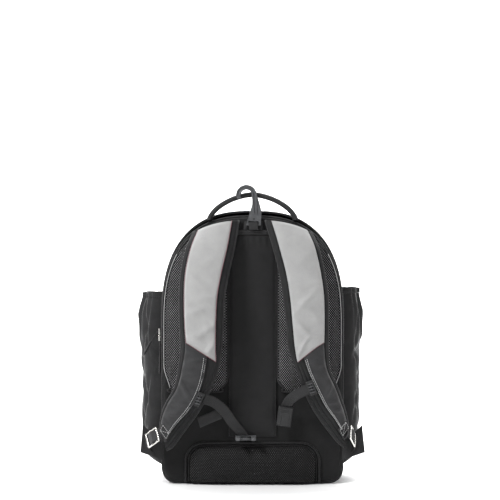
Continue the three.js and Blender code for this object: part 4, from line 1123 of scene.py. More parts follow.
def add_lumbar_pad():
    path = rounded_box(LUMBAR_HALF, LUMBAR_FOOT, LUMBAR_TOP, LUMBAR_CORNER, 8)
    place = filled_outline(path, (0, 38))

    def surface(lifted):
        def spot(u, v):
            x, z, out = place(u, v)
            rim = (1 - out) * 36
            puff = ramp(rim, -3, 17) ** 0.75
            soft = 0.5 * ripple(x, 0, z, 45, 3.0) * puff
            return x, REAR - 0.3 - (2.5 + 19.5 * puff + soft if lifted else 0), z

        return spot

    bm = pad_mesh(surface(True), surface(False), steps(150), steps(60), (244, 80))
    piece = add_piece("lumbar_pad_foam", flat_uv(bm), "lumbar_mesh", ["lumbar_pad"])
    inflate(piece, 3.0, 3.0, lambda co: 1.0 if co.y > REAR - 4 or co.z < 5 else 0.0)
    for name, grow, radius in (("inner", 2.4, 1.3), ("outer", 8.2, 2.1)):
        ring = rounded_box(LUMBAR_HALF + grow, 0, LUMBAR_TOP + grow, LUMBAR_CORNER + grow, 4, 260)
        upright = [point + Vector((0, REAR - 1.6, 0)) for point in ring if point.z > 3.4]
        nodes = ["lumbar_piping"] if name == "outer" else []
        cord_piece(f"lumbar_piping_{name}", upright, radius, "piping", nodes)


# Shoulder straps. Each rung, from the top down: outer x and z and inner x and z, as shares of the
# panel's half width and height, the lift off the back as a share of the greatest, and where across
# it the covers begin, the grey one ends and the black one ends.
RUNGS = {
    "left": (
        (0.655, 0.945, 0.149, 0.9885, -0.2, 0.09, 0.85, 0.62),
        (0.736, 0.884, 0.195, 0.894, 0.25, 0.09, 0.855, 0.62),
        (0.79, 0.8, 0.264, 0.79, 0.55, 0.09, 0.85, 0.63),
        (0.807, 0.709, 0.307, 0.703, 0.85, 0.1, 0.84, 0.64),
        (0.801, 0.597, 0.32, 0.609, 1, 0.11, 0.83, 0.65),
        (0.79, 0.522, 0.336, 0.522, 1, 0.12, 0.85, 0.65),
        (0.813, 0.447, 0.379, 0.439, 0.93, 0.1, 0.93, 0.68),
        (0.857, 0.372, 0.477, 0.353, 0.82, 0.08, 0.93, 0.72),
        (0.947, 0.316, 0.603, 0.276, 0.62, 0.06, 0.93, 0.72),
        (1.003, 0.27, 0.73, 0.218, 0.48, 0.06, 0.93, 0.63),
        (1.025, 0.22, 0.879, 0.15, 0.37, 0.06, 0.93, 0.52),
        (1.011, 0.185, 0.955, 0.133, 0.3, 0.1, 0.93, 0.45),
    ),
    "right": (
        (0.66, 0.943, 0.138, 0.9885, -0.2, 0.1, 0.86, 0.66),
        (0.736, 0.884, 0.217, 0.902, 0.25, 0.09, 0.86, 0.66),
        (0.796, 0.792, 0.302, 0.788, 0.55, 0.09, 0.85, 0.67),
        (0.832, 0.703, 0.345, 0.694, 0.85, 0.1, 0.85, 0.68),
        (0.832, 0.59, 0.374, 0.607, 1, 0.1, 0.85, 0.69),
        (0.833, 0.524, 0.397, 0.52, 1, 0.11, 0.84, 0.69),
        (0.846, 0.443, 0.482, 0.439, 0.93, 0.09, 0.9, 0.67),
        (0.936, 0.37, 0.577, 0.353, 0.82, 0.07, 0.9, 0.63),
        (0.989, 0.318, 0.678, 0.285, 0.62, 0.06, 0.9, 0.59),
        (1.025, 0.281, 0.799, 0.226, 0.48, 0.06, 0.9, 0.52),
        (1.06, 0.228, 0.936, 0.168, 0.37, 0.06, 0.9, 0.46),
        (1.058, 0.195, 1.015, 0.145, 0.3, 0.1, 0.9, 0.45),
    ),
}
GREY_END_OUTER, GREY_END_INNER, COVER_END = 0.436, 0.516, 0.9


def strap_curves(name, sign):
    outer, inner, cover = [], [], []
    for out_x, out_z, in_x, in_z, lift, *covered in RUNGS[name]:
        y = REAR - STRAP_SEAT - lift * STRAP_LIFT
        outer.append(Vector((sign * out_x * PANEL_HALF, y, out_z * PANEL_TOP)))
        inner.append(Vector((sign * in_x * PANEL_HALF, y, in_z * PANEL_TOP)))
        cover.append(Vector(covered))
    return outer, inner, cover


STRAPS = {name: strap_curves(name, sign) for name, sign in SIDES}


def tip_share(along):
    """How thick a strap still is, as it thins out towards its lower end."""
    return 1 - 0.45 * ramp(along, 0.8, 1.0)


def strap_thickness(across, along):
    return tip_share(along) * lerp(5.0, 10.0, 1 - (2 * across - 1) ** 4)


def strap_dome(across, along):
    return STRAP_CROWN * tip_share(along) * (1 - (2 * across - 1) ** 2)


def strap_point(name, across, along, out):
    """A point on a strap: across from its outer edge, along from its top, out from its back face."""
    outer, inner, _ = STRAPS[name]
    point = curve_at(outer, along).lerp(curve_at(inner, along), across)
    point.y -= strap_dome(across, along) + out
    point.z += STRAP_ARCH * (1 - (2 * across - 1) ** 2) * (1 - ramp(along, 0, 0.14))
    return point


def cover_span(name, along, colour):
    """Where across the strap the grey or the black cover begins and ends."""
    span = curve_at(STRAPS[name][2], along)
    return span.x, span.y if colour == "grey" else span.z


def grey_end(u):
    return lerp(GREY_END_OUTER, GREY_END_INNER, u)


def black_start(name, u):
    """The black cover is the narrower one, so it begins along the outer part of the grey one's end."""
    along = GREY_END_OUTER
    for _ in range(3):
        low, black = cover_span(name, along, "black")
        _, grey = cover_span(name, along, "grey")
        along = grey_end(u * (black - low) / (grey - low))
    return along + 0.0012


def groove(value, at, width):
    return math.exp(-(((value - at) / width) ** 2))


def add_strap_pads():
    for name, sign in SIDES:

        def front(u, v):
            low, grey = cover_span(name, v, "grey")
            under_grey = v < grey_end((u - low) / (grey - low))
            high = grey if under_grey else cover_span(name, v, "black")[1]
            covered = ramp(u, low - 0.02, low + 0.02) * (1 - ramp(u, high - 0.02, high + 0.02))
            shown = 1 - covered * (1 - ramp(v, COVER_END, COVER_END + 0.03))
            seams = groove(u, low - 0.012, 0.012) + groove(u, high + 0.02, 0.012)
            channel = groove(u, lerp(high, 1, 0.36), 0.02) + groove(u, lerp(high, 1, 0.68), 0.02)
            channel *= ramp(v, 0.5, 0.56)
            roll = 1 - abs(2 * u - 1) ** 22
            soft = 0.5 * ripple(u * 60, 0, v * 400, 26, 3.0 + sign)
            out = strap_thickness(u, v) * max(roll, 0) ** 0.4 + 0.4
            out -= 1.5 * seams + 1.9 * channel * shown - soft * shown
            return strap_point(name, u, v, max(out - 0.8 * covered, 0.6))

        def back(u, v):
            soft = 0.4 * ripple(u * 60, 9, v * 400, 30, 5.0)
            return strap_point(name, u, v, 0.6 + soft * (1 - abs(2 * u - 1) ** 4))

        bm = pad_mesh(front, back, steps(72), steps(190), (78, 430))
        add_piece(f"strap_pad_{name}_foam", bm, "strap_foam", [f"strap_pad_{name}"])
        for edge, across in (("outer", 0.012), ("inner", 0.988)):
            path = [strap_point(name, across, i / 90, 2.6 * tip_share(i / 90)) for i in range(91)]
            cord_piece(f"strap_binding_{edge}_{name}", path, 2.5, "edging", sides=12)


def cover_point(name, colour, u, along, out):
    low, high = cover_span(name, along, colour)
    across = lerp(low, high, u)
    return strap_point(name, across, along, strap_thickness(across, along) + out)


# Folds of the covers: how far across and along, slant in degrees, length, width and depth, in millimetres
GREY_FOLDS = {
    "left": (
        (20, 150, -32, 26, 5.5, 3.8),
        (44, 168, -40, 22, 5.0, 3.8),
        (24, 188, -24, 24, 5.0, 3.5),
        (50, 200, -58, 18, 4.5, 3.5),
        (40, 122, -20, 24, 6.0, 2.6),
        (18, 96, 24, 24, 6.5, 1.9),
        (42, 60, -30, 22, 7.0, 1.6),
    ),
    "right": (
        (22, 148, -38, 26, 5.5, 4.2),
        (42, 166, -52, 22, 5.0, 4.2),
        (26, 180, -30, 20, 4.5, 3.8),
        (46, 196, 36, 20, 4.5, 3.5),
        (36, 126, 24, 24, 6.0, 2.6),
        (44, 92, -22, 24, 6.5, 1.9),
        (20, 58, 26, 22, 7.0, 1.6),
    ),
}
BLACK_FOLDS = (
    (26, 24, -34, 26, 6.5, 4.5),
    (30, 48, -28, 26, 6.0, 4.2),
    (18, 82, 30, 22, 6.0, 3.4),
    (28, 112, -24, 24, 6.0, 3.4),
    (22, 146, -34, 22, 6.0, 3.1),
)


def folded(a, b, folds):
    """How far all the folds of a cover lift it at a millimetres across and b along."""
    return sum(depth * crease(a, b, *where) for *where, depth in folds)


def add_strap_covers():
    for name, sign in SIDES:

        def grey(u, v):
            along = grey_end(u) * lerp(0.004, 1.0, v)
            rim = ramp(min(u, 1 - u), 0, 0.07) * ramp(1 - v, 0, 0.03) * ramp(v, 0, 0.02)
            a, b = u * 62, v * 215
            puff = 0.7 * ripple(a, 0, b, 30, 2.0 + sign)
            puff += 0.45 * ripple(a * 0.7, 0, b * 1.4, 12, 6.0 + sign)
            fold = folded(a, b, GREY_FOLDS[name])
            settle = ramp(v, 0.25, 0.7)
            out = 1.6 + rim * (1.4 + puff * (0.5 + 0.9 * settle) + fold)
            return cover_point(name, "grey", u, along, out)

        bm = sheet_mesh(grey, steps(70), steps(220), (62, 215), thickness=-1.0)
        node = f"strap_cover_grey_{name}"
        add_piece(f"{node}_cloth", bm, "grey", [node])

        def black(u, v):
            along = lerp(black_start(name, u), COVER_END, v)
            rim = ramp(min(u, 1 - u), 0, 0.08) * ramp(min(v, 1 - v), 0, 0.03)
            a, b = u * 50, v * 200
            puff = 0.8 * ripple(a, 3, b, 28, 4.0 + sign)
            puff += 0.5 * ripple(a * 0.6, 3, b * 1.4, 12, 8.0 + sign)
            fold = folded(a, b, BLACK_FOLDS)
            return cover_point(name, "black", u, along, 1.4 + rim * (1.4 + puff + fold))

        bm = sheet_mesh(black, steps(56), steps(180), (50, 200), thickness=-1.0)
        node = f"strap_cover_black_{name}"
        add_piece(f"{node}_cloth", bm, "cover", [node])

        edge = [cover_point(name, "grey", 0.0, grey_end(0) * i / 60, 2.3) for i in range(61)]
        slant = [cover_point(name, "grey", i / 30, grey_end(i / 30), 2.7) for i in range(31)]
        rise = [cover_point(name, "grey", 1.0, grey_end(1) * i / 60, 2.3) for i in range(60, -1, -1)]
        for part, path, across in (("outer", edge, -1), ("slant", slant, 0), ("inner", rise, 1)):
            shifted = [point + Vector((-across * sign * -0.7, 0.3, 0)) for point in path]
            cord_piece(f"grey_edge_{part}_{name}", shifted, 0.55, "contrast", sides=8)

        rows = []
        for u in (0.87, 0.955):
            seam = [Vector(black(u, lerp(0.03, 0.97, i / 90))) for i in range(91)]
            rows.append([point + Vector((0, -0.9, 0)) for point in seam])
        sew(f"cover_stitches_{name}", rows, width=0.62)


# Webbing and hardware


def ribbon(centres, directions, width, thickness, count):
    """Webbing along a centre line, with the direction of its width at each of its points."""
    line = [curve_at(centres, i / count) for i in range(count + 1)]
    wide = [curve_at(directions, i / count).normalized() for i in range(count + 1)]
    up = []
    for i, across in enumerate(wide):
        run = line[min(i + 1, count)] - line[max(i - 1, 0)]
        up.append(run.cross(across).normalized())
    length = sum((b - a).length for a, b in zip(line, line[1:]))

    def surface(side):
        def place(u, v):
            i = round(v * count)
            half = side * thickness / 2 * (1 - 0.55 * abs(2 * u - 1) ** 8)
            return line[i] + wide[i] * ((u - 0.5) * width) + up[i] * half

        return place

    return pad_mesh(surface(1), surface(-1), 14, count, (width, length))


# Ladder locks: x and z as shares of the panel's half width and height, how far each stands off the
# back, and the ways along and across its webbing
LOCKS = {
    "left": (-1.112, 0.18, 24, (21.8, -12, 16.2), (8, -19.9, -25.5)),
    "right": (1.113, 0.186, 26, (-10.5, -22, 19.5), (-2.5, -22.7, -27)),
}
LOCK_LENGTH, LOCK_BAR, LOCK_THICK, WEB_WIDTH, WEB_THICK = 30.0, 2.6, 3.0, 25.0, 1.6


def lock_place(name):
    """The matrix that puts a ladder lock on its strap: along, off the back and across."""
    x, z, out, along, across = LOCKS[name]
    run = Vector(along).normalized()
    down = Vector(across)
    down = (down - run * down.dot(run)).normalized()
    inward = down.cross(run)
    if inward.y < 0:
        inward.negate()
    wide = run.cross(inward)
    place = Matrix((run, inward, wide)).transposed().to_4x4()
    place.translation = Vector((x * PANEL_HALF, REAR - out, z * PANEL_TOP))
    return place


def add_strap_webbing():
    for name in LOCKS:
        place = lock_place(name)
        wide = (place.to_3x3() @ Vector((0, 0, 1))).normalized()
        clear = LOCK_THICK / 2 + WEB_THICK / 2 + 0.7
        inside = LOCK_LENGTH / 2 - LOCK_BAR / 2
        centres, directions = [], []
        for along, across in ((0.87, 0.33), (0.906, 0.3), (0.95, 0.25), (0.97, 0.12)):
            rise = strap_dome(0.5, along) + strap_thickness(0.5, along) + 2.6
            outer, inner, _ = STRAPS[name]
            point = curve_at(outer, along).lerp(curve_at(inner, along), across)
            centres.append(point - Vector((0, rise, 0)))
            direction = (curve_at(inner, along) - curve_at(outer, along)).normalized()
            directions.append(direction * (-1 if direction.dot(wide) < 0 else 1))
        over = [(inside + 2 * LOCK_BAR, clear), (inside, clear), (inside * 0.5, 0), (0, -clear)]
        for reach, out in over + [(-inside * 0.5, 0), (-inside, clear), (-inside - 7, clear)]:
            centres.append(place @ Vector((reach, out, 0)))
            directions.append(wide)
        bm = ribbon(centres, directions, WEB_WIDTH, WEB_THICK, steps(110))
        add_piece(f"strap_webbing_{name}_band", bm, "webbing", [f"strap_webbing_{name}"])
        near, far = centres[0].lerp(centres[1], 0.2), centres[1].lerp(centres[2], 0.5)
        across, lift = directions[1] * 9.5, Vector((0, -1.1, 0))
        corners = [near - across, near + across, far + across, far - across, near - across]
        box = [[a + lift, b + lift] for a, b in zip(corners, corners[1:])]
        box.append([corners[0] + lift, corners[2] + lift])
        sew(f"webbing_stitches_{name}", box, width=0.5)


def add_locks():
    for name in LOCKS:
        dressed_node(f"ladder_lock_{name}", "nickel", 0.9, 4)


# Anchor wings, at their low and their high edge: shares of the panel's half width and height
WING_ROOT_Z, WING_TIP_X, WING_TIP_Z = (0.089, 0.15), (1.2575, 1.227), (0.12, 0.222)


def add_wings():
    for name, sign in SIDES:

        def surface(lift):
            def place(u, v):
                root = Vector((PANEL_HALF + 0.6, 0, lerp(*WING_ROOT_Z, v) * PANEL_TOP))
                tip = Vector((lerp(*WING_TIP_X, v) * PANEL_HALF, 0, lerp(*WING_TIP_Z, v) * PANEL_TOP))
                point = root.lerp(tip, u)
                fold = math.sin(math.pi * u) * math.cos(3 * v) + 0.6 * ripple(u * 40, 0, v * 60, 18, sign)
                y = REAR + 4 - 6 * u**1.5 - lift - fold * 0.8
                return sign * point.x, y, point.z

            return place

        bm = pad_mesh(surface(2.4), surface(0.4), steps(40), steps(40), (42, 60))
        add_piece(f"anchor_wing_{name}_cloth", bm, "webbing", [f"anchor_wing_{name}"])
        place = lock_place(name)
        wide = (place.to_3x3() @ Vector((0, 0, 1))).normalized()
        start = place @ Vector((-LOCK_LENGTH / 2 + LOCK_BAR, 1.5, 0))
        end = Vector((sign * PANEL_HALF * 1.13, REAR + 0.5, 0.135 * PANEL_TOP))
        middle = start.lerp(end, 0.5) + Vector((sign * 5, 1, 2))
        low = Vector((sign * 0.35, 0, 0.9)).normalized() * (1 if wide.z > 0 else -1)
        directions = [wide, (wide + low).normalized(), low]
        bm = ribbon([start, middle, end], directions, WEB_WIDTH - 1, 1.5, steps(40))
        add_piece(f"wing_webbing_{name}_band", bm, "webbing")


# Bat pockets: how high each row is, as a share of the pocket, and how far the wall stands out there
POCKET_ROWS = (
    (0, 0.04),
    (0.025, 0.5),
    (0.07, 0.8),
    (0.15, 0.9),
    (0.35, 0.91),
    (0.56, 0.91),
    (0.66, 0.95),
    (0.76, 1.0),
    (0.89, 0.99),
    (0.955, 0.88),
    (1, 0.76),
)

# Folds of each pocket: height, place round the wall, slant, length, width and depth in millimetres
POCKET_FOLDS = {
    "left": (
        (0.84, 0.2, 70, 0.22, 0.03, 6.5),
        (0.68, 0.3, -54, 0.26, 0.035, 9.4),
        (0.55, 0.34, 50, 0.24, 0.032, 8.7),
        (0.42, 0.2, -60, 0.2, 0.03, 7.2),
        (0.3, 0.34, 62, 0.22, 0.03, 7.2),
        (0.16, 0.3, -34, 0.2, 0.03, 5.8),
        (0.6, 0.65, 60, 0.2, 0.035, 5.8),
        (0.35, 0.75, -58, 0.2, 0.035, 5.8),
    ),
    "right": (
        (0.84, 0.24, 62, 0.2, 0.03, 6.5),
        (0.66, 0.26, 14, 0.2, 0.034, 8.7),
        (0.52, 0.3, -58, 0.24, 0.03, 7.2),
        (0.38, 0.24, 50, 0.22, 0.03, 6.5),
        (0.26, 0.34, -46, 0.2, 0.03, 5.8),
        (0.14, 0.3, 20, 0.2, 0.03, 5.8),
        (0.55, 0.7, -60, 0.2, 0.035, 5.8),
    ),
}


def pocket_reach(height):
    for (low, a), (high, b) in zip(POCKET_ROWS, POCKET_ROWS[1:]):
        if height <= high:
            return lerp(a, b, (height - low) / (high - low))
    return POCKET_ROWS[-1][1]


def pocket_point(name, around, height, extra=0.0):
    sign = -1 if name == "left" else 1
    angle = around * math.pi
    reach = (pocket_reach(height - 0.012) + pocket_reach(height) + pocket_reach(height + 0.012)) / 3
    if height < 0.02:
        reach = pocket_reach(height)
    gathers = math.cos(13 * angle + 0.8 * math.sin(5 * angle)) + 0.5 * math.cos(23 * angle + 1.3)
    gathers *= 4.2 * ramp(height, 0.66, 0.95) * (0.6 + 0.4 * math.sin(3 * angle + 1) ** 2)
    dents = 0.0
    for at_height, at, slant, length, width, depth in POCKET_FOLDS[name]:
        dents += depth * crease(around, height, at, at_height, slant, length, width)
    across, up = around * 120, height * 330
    soft = ripple(across, 0, up, 34, 4.0 + sign) * 2.2 + ripple(across, 5, up, 15, 2.0)
    loose = math.sin(angle) ** 0.6 * ramp(height, 0.03, 0.12)
    full = max(POCKET_REACH[name] * reach - (dents + gathers - soft) * loose + extra, 0)
    out = full * max(math.sin(angle), 0.0) ** 0.6
    middle, half = (POCKET_REAR + POCKET_FRONT) / 2, (POCKET_FRONT - POCKET_REAR) / 2
    y = middle - half * power(math.cos(angle), 0.75)
    z = lerp(POCKET_FLOOR, POCKET_HEAD[name], height)
    return sign * (SHELL_HALF + 0.5 + out), y, z


def add_pockets():
    for name, sign in SIDES:
        size = (160, 340)
        bm = sheet_mesh(lambda u, v: pocket_point(name, u, v), steps(170), steps(230), size, thickness=1.3)
        add_piece(f"bat_pocket_{name}_cloth", bm, "pocket", [f"bat_pocket_{name}"])

        def hem(grow):
            def place(u, v):
                x, y, _ = pocket_point(name, u, 1.0, grow + 0.5 * math.sin(2 * math.pi * v) ** 2)
                frill = 0.5 * math.cos(60 * u) + 0.6 * math.sin(19 * u)
                return x, y, POCKET_HEAD[name] + 0.3 + v * (HEM_HEIGHT + frill * 0.6)

            return place

        bm = pad_mesh(hem(1.0), hem(-1.4), steps(200), 12, (160, 10))
        add_piece(f"pocket_hem_{name}_elastic", bm, "edging", [f"pocket_hem_{name}"])
        rows = []
        for share in (0.2, 0.8):
            rows.append([Vector(hem(1.5)(i / 120, share)) for i in range(121)])
        sew(f"hem_stitches_{name}", rows, "webbing", width=0.4)
        for part, around in (("rear", 0.0), ("front", 1.0)):
            seam = [pocket_point(name, around, i / 60) for i in range(61)]
            shift = -1.2 if part == "rear" else 1.2
            path = [Vector((x + sign * 0.8, y + shift, z)) for x, y, z in seam]
            cord_piece(f"pocket_seam_{part}_{name}", path, 1.3, "piping", sides=8)


# Handle and hook


def add_handle():
    radius = bpy.context.scene.bag_sizes.handle_radius / MM
    foot = panel_top(HANDLE_SPAN) + HANDLE_SEAT
    path = []
    for i in range(25):
        share = -math.cos(math.pi * i / 24)
        up = (1 - abs(share) ** HANDLE_BEND) ** (1 / HANDLE_BEND)
        path.append(Vector((share * HANDLE_SPAN, REAR + PANEL_THICK / 2, foot + HANDLE_RISE * up)))
    path = smooth_path(path, steps(200))

    def girth(share):
        foot_swell = 0.1 * (1 - ramp(min(share, 1 - share), 0, 0.05))
        return radius * (1 + 0.025 * math.cos(share * 520) + foot_swell)

    cord_piece("haul_handle_cord", path, girth, "webbing", ["haul_handle"], sides=20)
    inner = []
    middle = Vector((0, REAR + PANEL_THICK / 2, foot))
    for point in path[6:-6]:
        inward = (middle - point).normalized()
        inner.append(point + inward * (radius * 0.98) + Vector((0, -1.2, 0)))
    sew("haul_handle_stitches", [inner], width=0.6)


def add_hook():
    dressed_node("fence_hook", "plastic", 1.3, 4)
    face = node_box("fence_hook")[0].y
    y = face + 0.2
    for name, radius in (("inner", HOOK_RING - HOOK_RIDGE), ("outer", HOOK_RING + HOOK_RIDGE)):
        ridge = [Vector((HOOK_X + radius + lerp(1.5, 0, i / 6), y, HOOK_Z - 36 + 6 * i)) for i in range(6)]
        for i in range(25):
            angle = math.pi * i / 24
            ridge.append(Vector((HOOK_X + radius * math.cos(angle), y, HOOK_Z + radius * math.sin(angle))))
        ridge = smooth_path(ridge, 90)
        cord_piece(f"fence_hook_ridge_{name}", ridge, 1.9, "plastic", sides=12)
    # A thin dark disc of the black buckle plastic at the hook's eyelet: painted shade for the shaded inside
    # of the hole.
    bm = bmesh.new()
    eyelet = Matrix.Translation((EYELET_X, face - 0.05, EYELET_Z)) @ Matrix.Rotation(math.pi / 2, 4, "X")
    bmesh.ops.create_cone(
        bm, cap_ends=True, segments=24, radius1=1.7, radius2=1.7, depth=0.6, matrix=eyelet
    )
    add_piece("fence_hook_eyelet_shade_disc", bm, "buckle")
    low, high = node_box("hook_tab")
    foot, top = HEM_TOP + 0.6, high.z
    front, back = low.y + 0.8, high.y - 0.8
    x = (low.x + high.x) / 2
    middle = lerp(foot, top, 0.5)
    rise = [(front, foot), (front, middle), (front, top - 2.4), (front + 1.2, top - 0.9)]
    fall = [(back - 1.2, top - 0.9), (back, top - 2.4), (back, middle), (back, foot)]
    centres = [Vector((x, y, z)) for y, z in rise + fall]
    bm = ribbon(centres, [Vector((1, 0, 0))] * len(centres), 18.6, 1.4, steps(60))
    add_piece("hook_tab_webbing", bm, "webbing", ["hook_tab"])


# Sternum strap: how far in and below its clip each point is, its stand-off and the way of its width
STERNUM = {
    "left": (
        (10.4, 0.6, 0.867, (0.3, 0, 0.95)),
        (27.4, 6.6, 0.708, (0.4, 0, 0.9)),
        (47.4, 23.6, 0.531, (0.7, 0, 0.7)),
        (65.4, 49.6, 0.389, (0.85, 0.1, 0.4)),
        (80.4, 67.6, 0.283, (0.97, 0.1, 0.2)),
        (85.4, 74.2, 0.265, (1, 0, 0)),
    ),
    "right": (
        (6.6, 2.4, 0.965, (-0.35, 0, 0.93)),
        (24.3, 11.7, 0.835, (-0.5, 0, 0.85)),
        (39.3, 24.7, 0.54, (-0.8, 0, 0.6)),
        (47.3, 39.1, 0.295, (-0.99, 0, 0.14)),
    ),
    "tail": (
        (-0.6, 48.6, 0.442, (-0.3, 0, 0.95)),
        (15.4, 41.6, 0.46, (-0.3, 0, 0.95)),
        (29.4, 35.6, 0.471, (-0.3, 0, 0.95)),
        (41.3, 30.8, 0.478, (-0.3, 0, 0.95)),
    ),
}


def add_ribs(name, centre, lean, reach, count, spread, material):
    """Small ribs across a clip's or a buckle's face. lean is in degrees, the rest in millimetres."""
    turn = math.radians(lean)
    rib = Matrix.Rotation(turn, 4, "Y") @ Matrix.Diagonal((reach, 1.0, 1.1, 1))
    bm = bmesh.new()
    for i in range(count):
        up = lerp(-spread, spread, i / (count - 1))
        spot = centre + Vector((up * math.sin(turn), 0, up * math.cos(turn)))
        shape = Matrix.Translation(spot) @ rib
        bmesh.ops.create_icosphere(bm, subdivisions=3, radius=1, matrix=shape)
    add_piece(name, bm, material)


def add_sternum_strap():
    for name in ("left", "right", "tail"):
        side = "right" if name == "right" else "left"
        sign = 1 if side == "right" else -1
        low, high = node_box(f"sternum_clip_{side}")
        x, y, z = (low + high) / 2
        centres, directions = [], []
        for inward, below, off, wide in STERNUM[name]:
            centres.append(Vector((x - sign * inward, lerp(REAR, y, off), z - below)))
            directions.append(Vector(wide))
        bm = ribbon(centres, directions, 20, 1.5, steps(70))
        node = "sternum_tail" if name == "tail" else f"sternum_webbing_{name}"
        add_piece(f"{node}_band", bm, "webbing", [node])
        if name != "tail":
            clip = f"sternum_clip_{name}"
            dressed_node(clip, "buckle", 0.9)
            add_ribs(f"{clip}_ribs", Vector((x, y - 2.3, z)), -16 * sign, 5.6, 4, 8.5, "plastic")
    dressed_node("buckle_male", "plastic", 1.0)
    dressed_node("buckle_female", "buckle", 1.0)
    low, high = node_box("buckle_male")
    middle = Vector(((low.x + high.x) / 2, low.y + 7, (low.z + high.z) / 2))
    add_ribs("buckle_male_guide", middle, 0, 12.0, 2, 1.5, "plastic")
    low, high = node_box("buckle_female")
    face = Vector(((low.x + high.x) / 2, low.y + 0.2, (low.z + high.z) / 2))
    add_ribs("buckle_female_ribs", face + Vector((0, 0, 11)), 8, 11.0, 3, 3.4, "buckle")
    add_ribs("buckle_female_latch", face + Vector((0, 0, -6)), 98, 9.0, 2, 8.0, "buckle")


# The stage: floor, light and camera


def add_floor():
    pale = Finish("pale_floor", (0.93, 0.93, 0.93), 0.6)
    pale.roughness(pale.cloud(4, 3), 0.55, 0.7)
    half_width, near, far, curve, wall, level = 6000, -4000, 2600, 900, 3600, 0.55

    def place(u, v):
        rise = max(v - level, 0) / (1 - level) * 2
        angle = math.pi / 2 * min(rise, 1)
        y = lerp(near, far, min(v / level, 1)) + curve * math.sin(angle)
        z = curve * (1 - math.cos(angle)) + wall * max(rise - 1, 0)
        return lerp(-half_width, half_width, u), y, z - 0.4

    bm = sheet_mesh(place, 8, 160, (12000, 9000))
    make_object("floor_sweep", bm, pale.material)


def soft_light(name, spot, aim, size, watts):
    data = bpy.data.lights.new(name, "AREA")
    data.shape, data.size, data.energy = "SQUARE", size, watts
    light = bpy.data.objects.new(name, data)
    light.location = Vector(spot)
    light.rotation_euler = (Vector(aim) - Vector(spot)).to_track_quat("-Z", "Y").to_euler()
    bpy.context.scene.collection.objects.link(light)


def add_lights_and_camera():
    bag = (0, -0.1, 0.28)
    soft_light("key_light", (-1.7, -1.5, 2.3), bag, 0.7, 92)
    soft_light("fill_light", (2.0, -1.9, 1.1), bag, 1.5, 8)
    soft_light("top_light", (0.1, -0.2, 2.6), bag, 1.4, 18)
    soft_light("left_rim", (-2.3, 0.9, 1.0), bag, 1.0, 24)
    soft_light("right_rim", (2.3, 0.9, 1.0), bag, 1.0, 24)
    soft_light("backdrop_light", (0, 1.2, 2.9), (0, 3.4, 0.9), 2.5, 320)
    scene = bpy.context.scene
    world = bpy.data.worlds.new("studio")
    world.use_nodes = True
    background = world.node_tree.nodes["Background"]
    background.inputs["Color"].default_value = (1, 1, 1, 1)
    background.inputs["Strength"].default_value = 0.17
    scene.world = world
    data = bpy.data.cameras.new("photo_camera")
    distance, view_width, sensor = 2.8, 0.975, 36
    middle_x, middle_z = -0.0049, 0.4563
    data.sensor_width, data.lens = sensor, sensor * distance / view_width
    camera = bpy.data.objects.new("photo_camera", data)
    camera.location = (middle_x, REAR * MM - distance, middle_z)
    camera.rotation_euler = (math.pi / 2, 0, 0)
    scene.collection.objects.link(camera)
    scene.camera = camera
    scene.view_settings.view_transform = "Standard"


# The add-on


class BAT_BACKPACK_OT_body(bpy.types.Operator):
    """The body's wall, back and front panels and their piping"""

    bl_idname = "bat_backpack.body"
    bl_label = "Body"

    def execute(self, context):
        add_body_wall()
        add_back_panel()
        add_front_panel()
        add_panel_piping()
        return {"FINISHED"}


class BAT_BACKPACK_OT_front_compartment(bpy.types.Operator):
    """The bulging front compartment and its zipper"""

    bl_idname = "bat_backpack.front_compartment"
    bl_label = "Front Compartment"

    def execute(self, context):
        add_front_compartment()
        add_front_zipper()
        return {"FINISHED"}


class BAT_BACKPACK_OT_main_zipper(bpy.types.Operator):
    """The main zipper, its sliders and pulls"""

    bl_idname = "bat_backpack.main_zipper"
    bl_label = "Main Zipper"

    def execute(self, context):
        add_main_zipper()
        add_zip_pulls()
        return {"FINISHED"}


class BAT_BACKPACK_OT_back_pads(bpy.types.Operator):
    """The mesh pads, the sleeve between them and the lumbar pad"""

    bl_idname = "bat_backpack.back_pads"
    bl_label = "Back Pads"

    def execute(self, context):
        add_mesh_pads()
        add_spine_sleeve()
        add_sleeve_hem()
        add_lumbar_pad()
        return {"FINISHED"}


class BAT_BACKPACK_OT_shoulder_straps(bpy.types.Operator):
    """The padded straps with their covers and stitching"""

    bl_idname = "bat_backpack.shoulder_straps"
    bl_label = "Shoulder Straps"

    def execute(self, context):
        add_strap_pads()
        add_strap_covers()
        return {"FINISHED"}


class BAT_BACKPACK_OT_strap_webbing(bpy.types.Operator):
    """The webbing, ladder locks and anchor wings under the straps"""

    bl_idname = "bat_backpack.strap_webbing"
    bl_label = "Strap Webbing"

    def execute(self, context):
        add_strap_webbing()
        add_locks()
        add_wings()
        return {"FINISHED"}


class BAT_BACKPACK_OT_bat_pockets(bpy.types.Operator):
    """The side pockets with their elastic hems"""

    bl_idname = "bat_backpack.bat_pockets"
    bl_label = "Bat Pockets"

    def execute(self, context):
        add_pockets()
        return {"FINISHED"}


class BAT_BACKPACK_OT_handle_and_hook(bpy.types.Operator):
    """The haul handle, and the fence hook on its tab"""

    bl_idname = "bat_backpack.handle_and_hook"
    bl_label = "Handle and Hook"

    def execute(self, context):
        add_handle()
        add_hook()
        return {"FINISHED"}


class BAT_BACKPACK_OT_sternum_strap(bpy.types.Operator):
    """The sternum strap with its clips and buckle"""

    bl_idname = "bat_backpack.sternum_strap"
    bl_label = "Sternum Strap"

    def execute(self, context):
        add_sternum_strap()
        return {"FINISHED"}


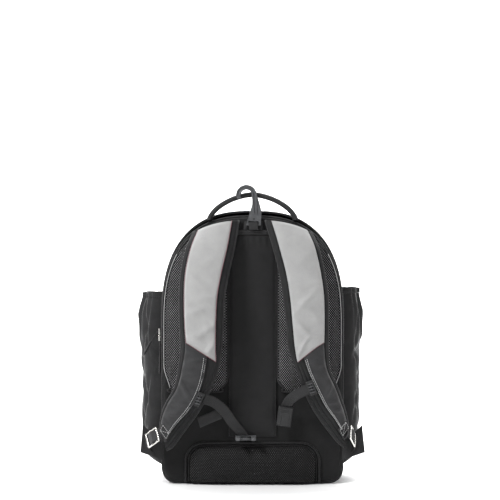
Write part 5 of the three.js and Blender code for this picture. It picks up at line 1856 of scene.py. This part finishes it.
class BAT_BACKPACK_OT_stage(bpy.types.Operator):
    """The pale floor, the soft light and the camera"""

    bl_idname = "bat_backpack.stage"
    bl_label = "Stage"

    def execute(self, context):
        add_floor()
        add_lights_and_camera()
        return {"FINISHED"}


OPERATORS = (
    BAT_BACKPACK_OT_body,
    BAT_BACKPACK_OT_front_compartment,
    BAT_BACKPACK_OT_main_zipper,
    BAT_BACKPACK_OT_back_pads,
    BAT_BACKPACK_OT_shoulder_straps,
    BAT_BACKPACK_OT_strap_webbing,
    BAT_BACKPACK_OT_bat_pockets,
    BAT_BACKPACK_OT_handle_and_hook,
    BAT_BACKPACK_OT_sternum_strap,
    BAT_BACKPACK_OT_stage,
)


class BAT_BACKPACK_PT_panel(bpy.types.Panel):
    """The bag's sizes, colours and makers"""

    bl_idname = "BAT_BACKPACK_PT_panel"
    bl_label = "Bat Backpack"
    bl_space_type = "VIEW_3D"
    bl_region_type = "UI"
    bl_category = "Bat Backpack"

    def draw(self, context):
        for group in (context.scene.bag_sizes, context.scene.bag_colours):
            for name in group.bl_rna.properties.keys():
                if name not in ("rna_type", "name"):
                    self.layout.prop(group, name)
        for maker in OPERATORS:
            self.layout.operator(maker.bl_idname)


CLASSES = (BagSizes, BagColours, *OPERATORS, BAT_BACKPACK_PT_panel)


def register():
    for each in CLASSES:
        bpy.utils.register_class(each)
    bpy.types.Scene.bag_sizes = bpy.props.PointerProperty(type=BagSizes)
    bpy.types.Scene.bag_colours = bpy.props.PointerProperty(type=BagColours)


def unregister():
    del bpy.types.Scene.bag_colours
    del bpy.types.Scene.bag_sizes
    for each in reversed(CLASSES):
        bpy.utils.unregister_class(each)


def main():
    register()
    bpy.ops.bat_backpack.body()
    bpy.ops.bat_backpack.front_compartment()
    bpy.ops.bat_backpack.main_zipper()
    bpy.ops.bat_backpack.back_pads()
    bpy.ops.bat_backpack.shoulder_straps()
    bpy.ops.bat_backpack.strap_webbing()
    bpy.ops.bat_backpack.bat_pockets()
    bpy.ops.bat_backpack.handle_and_hook()
    bpy.ops.bat_backpack.sternum_strap()
    bpy.ops.bat_backpack.stage()


if __name__ == "__main__":
    main()
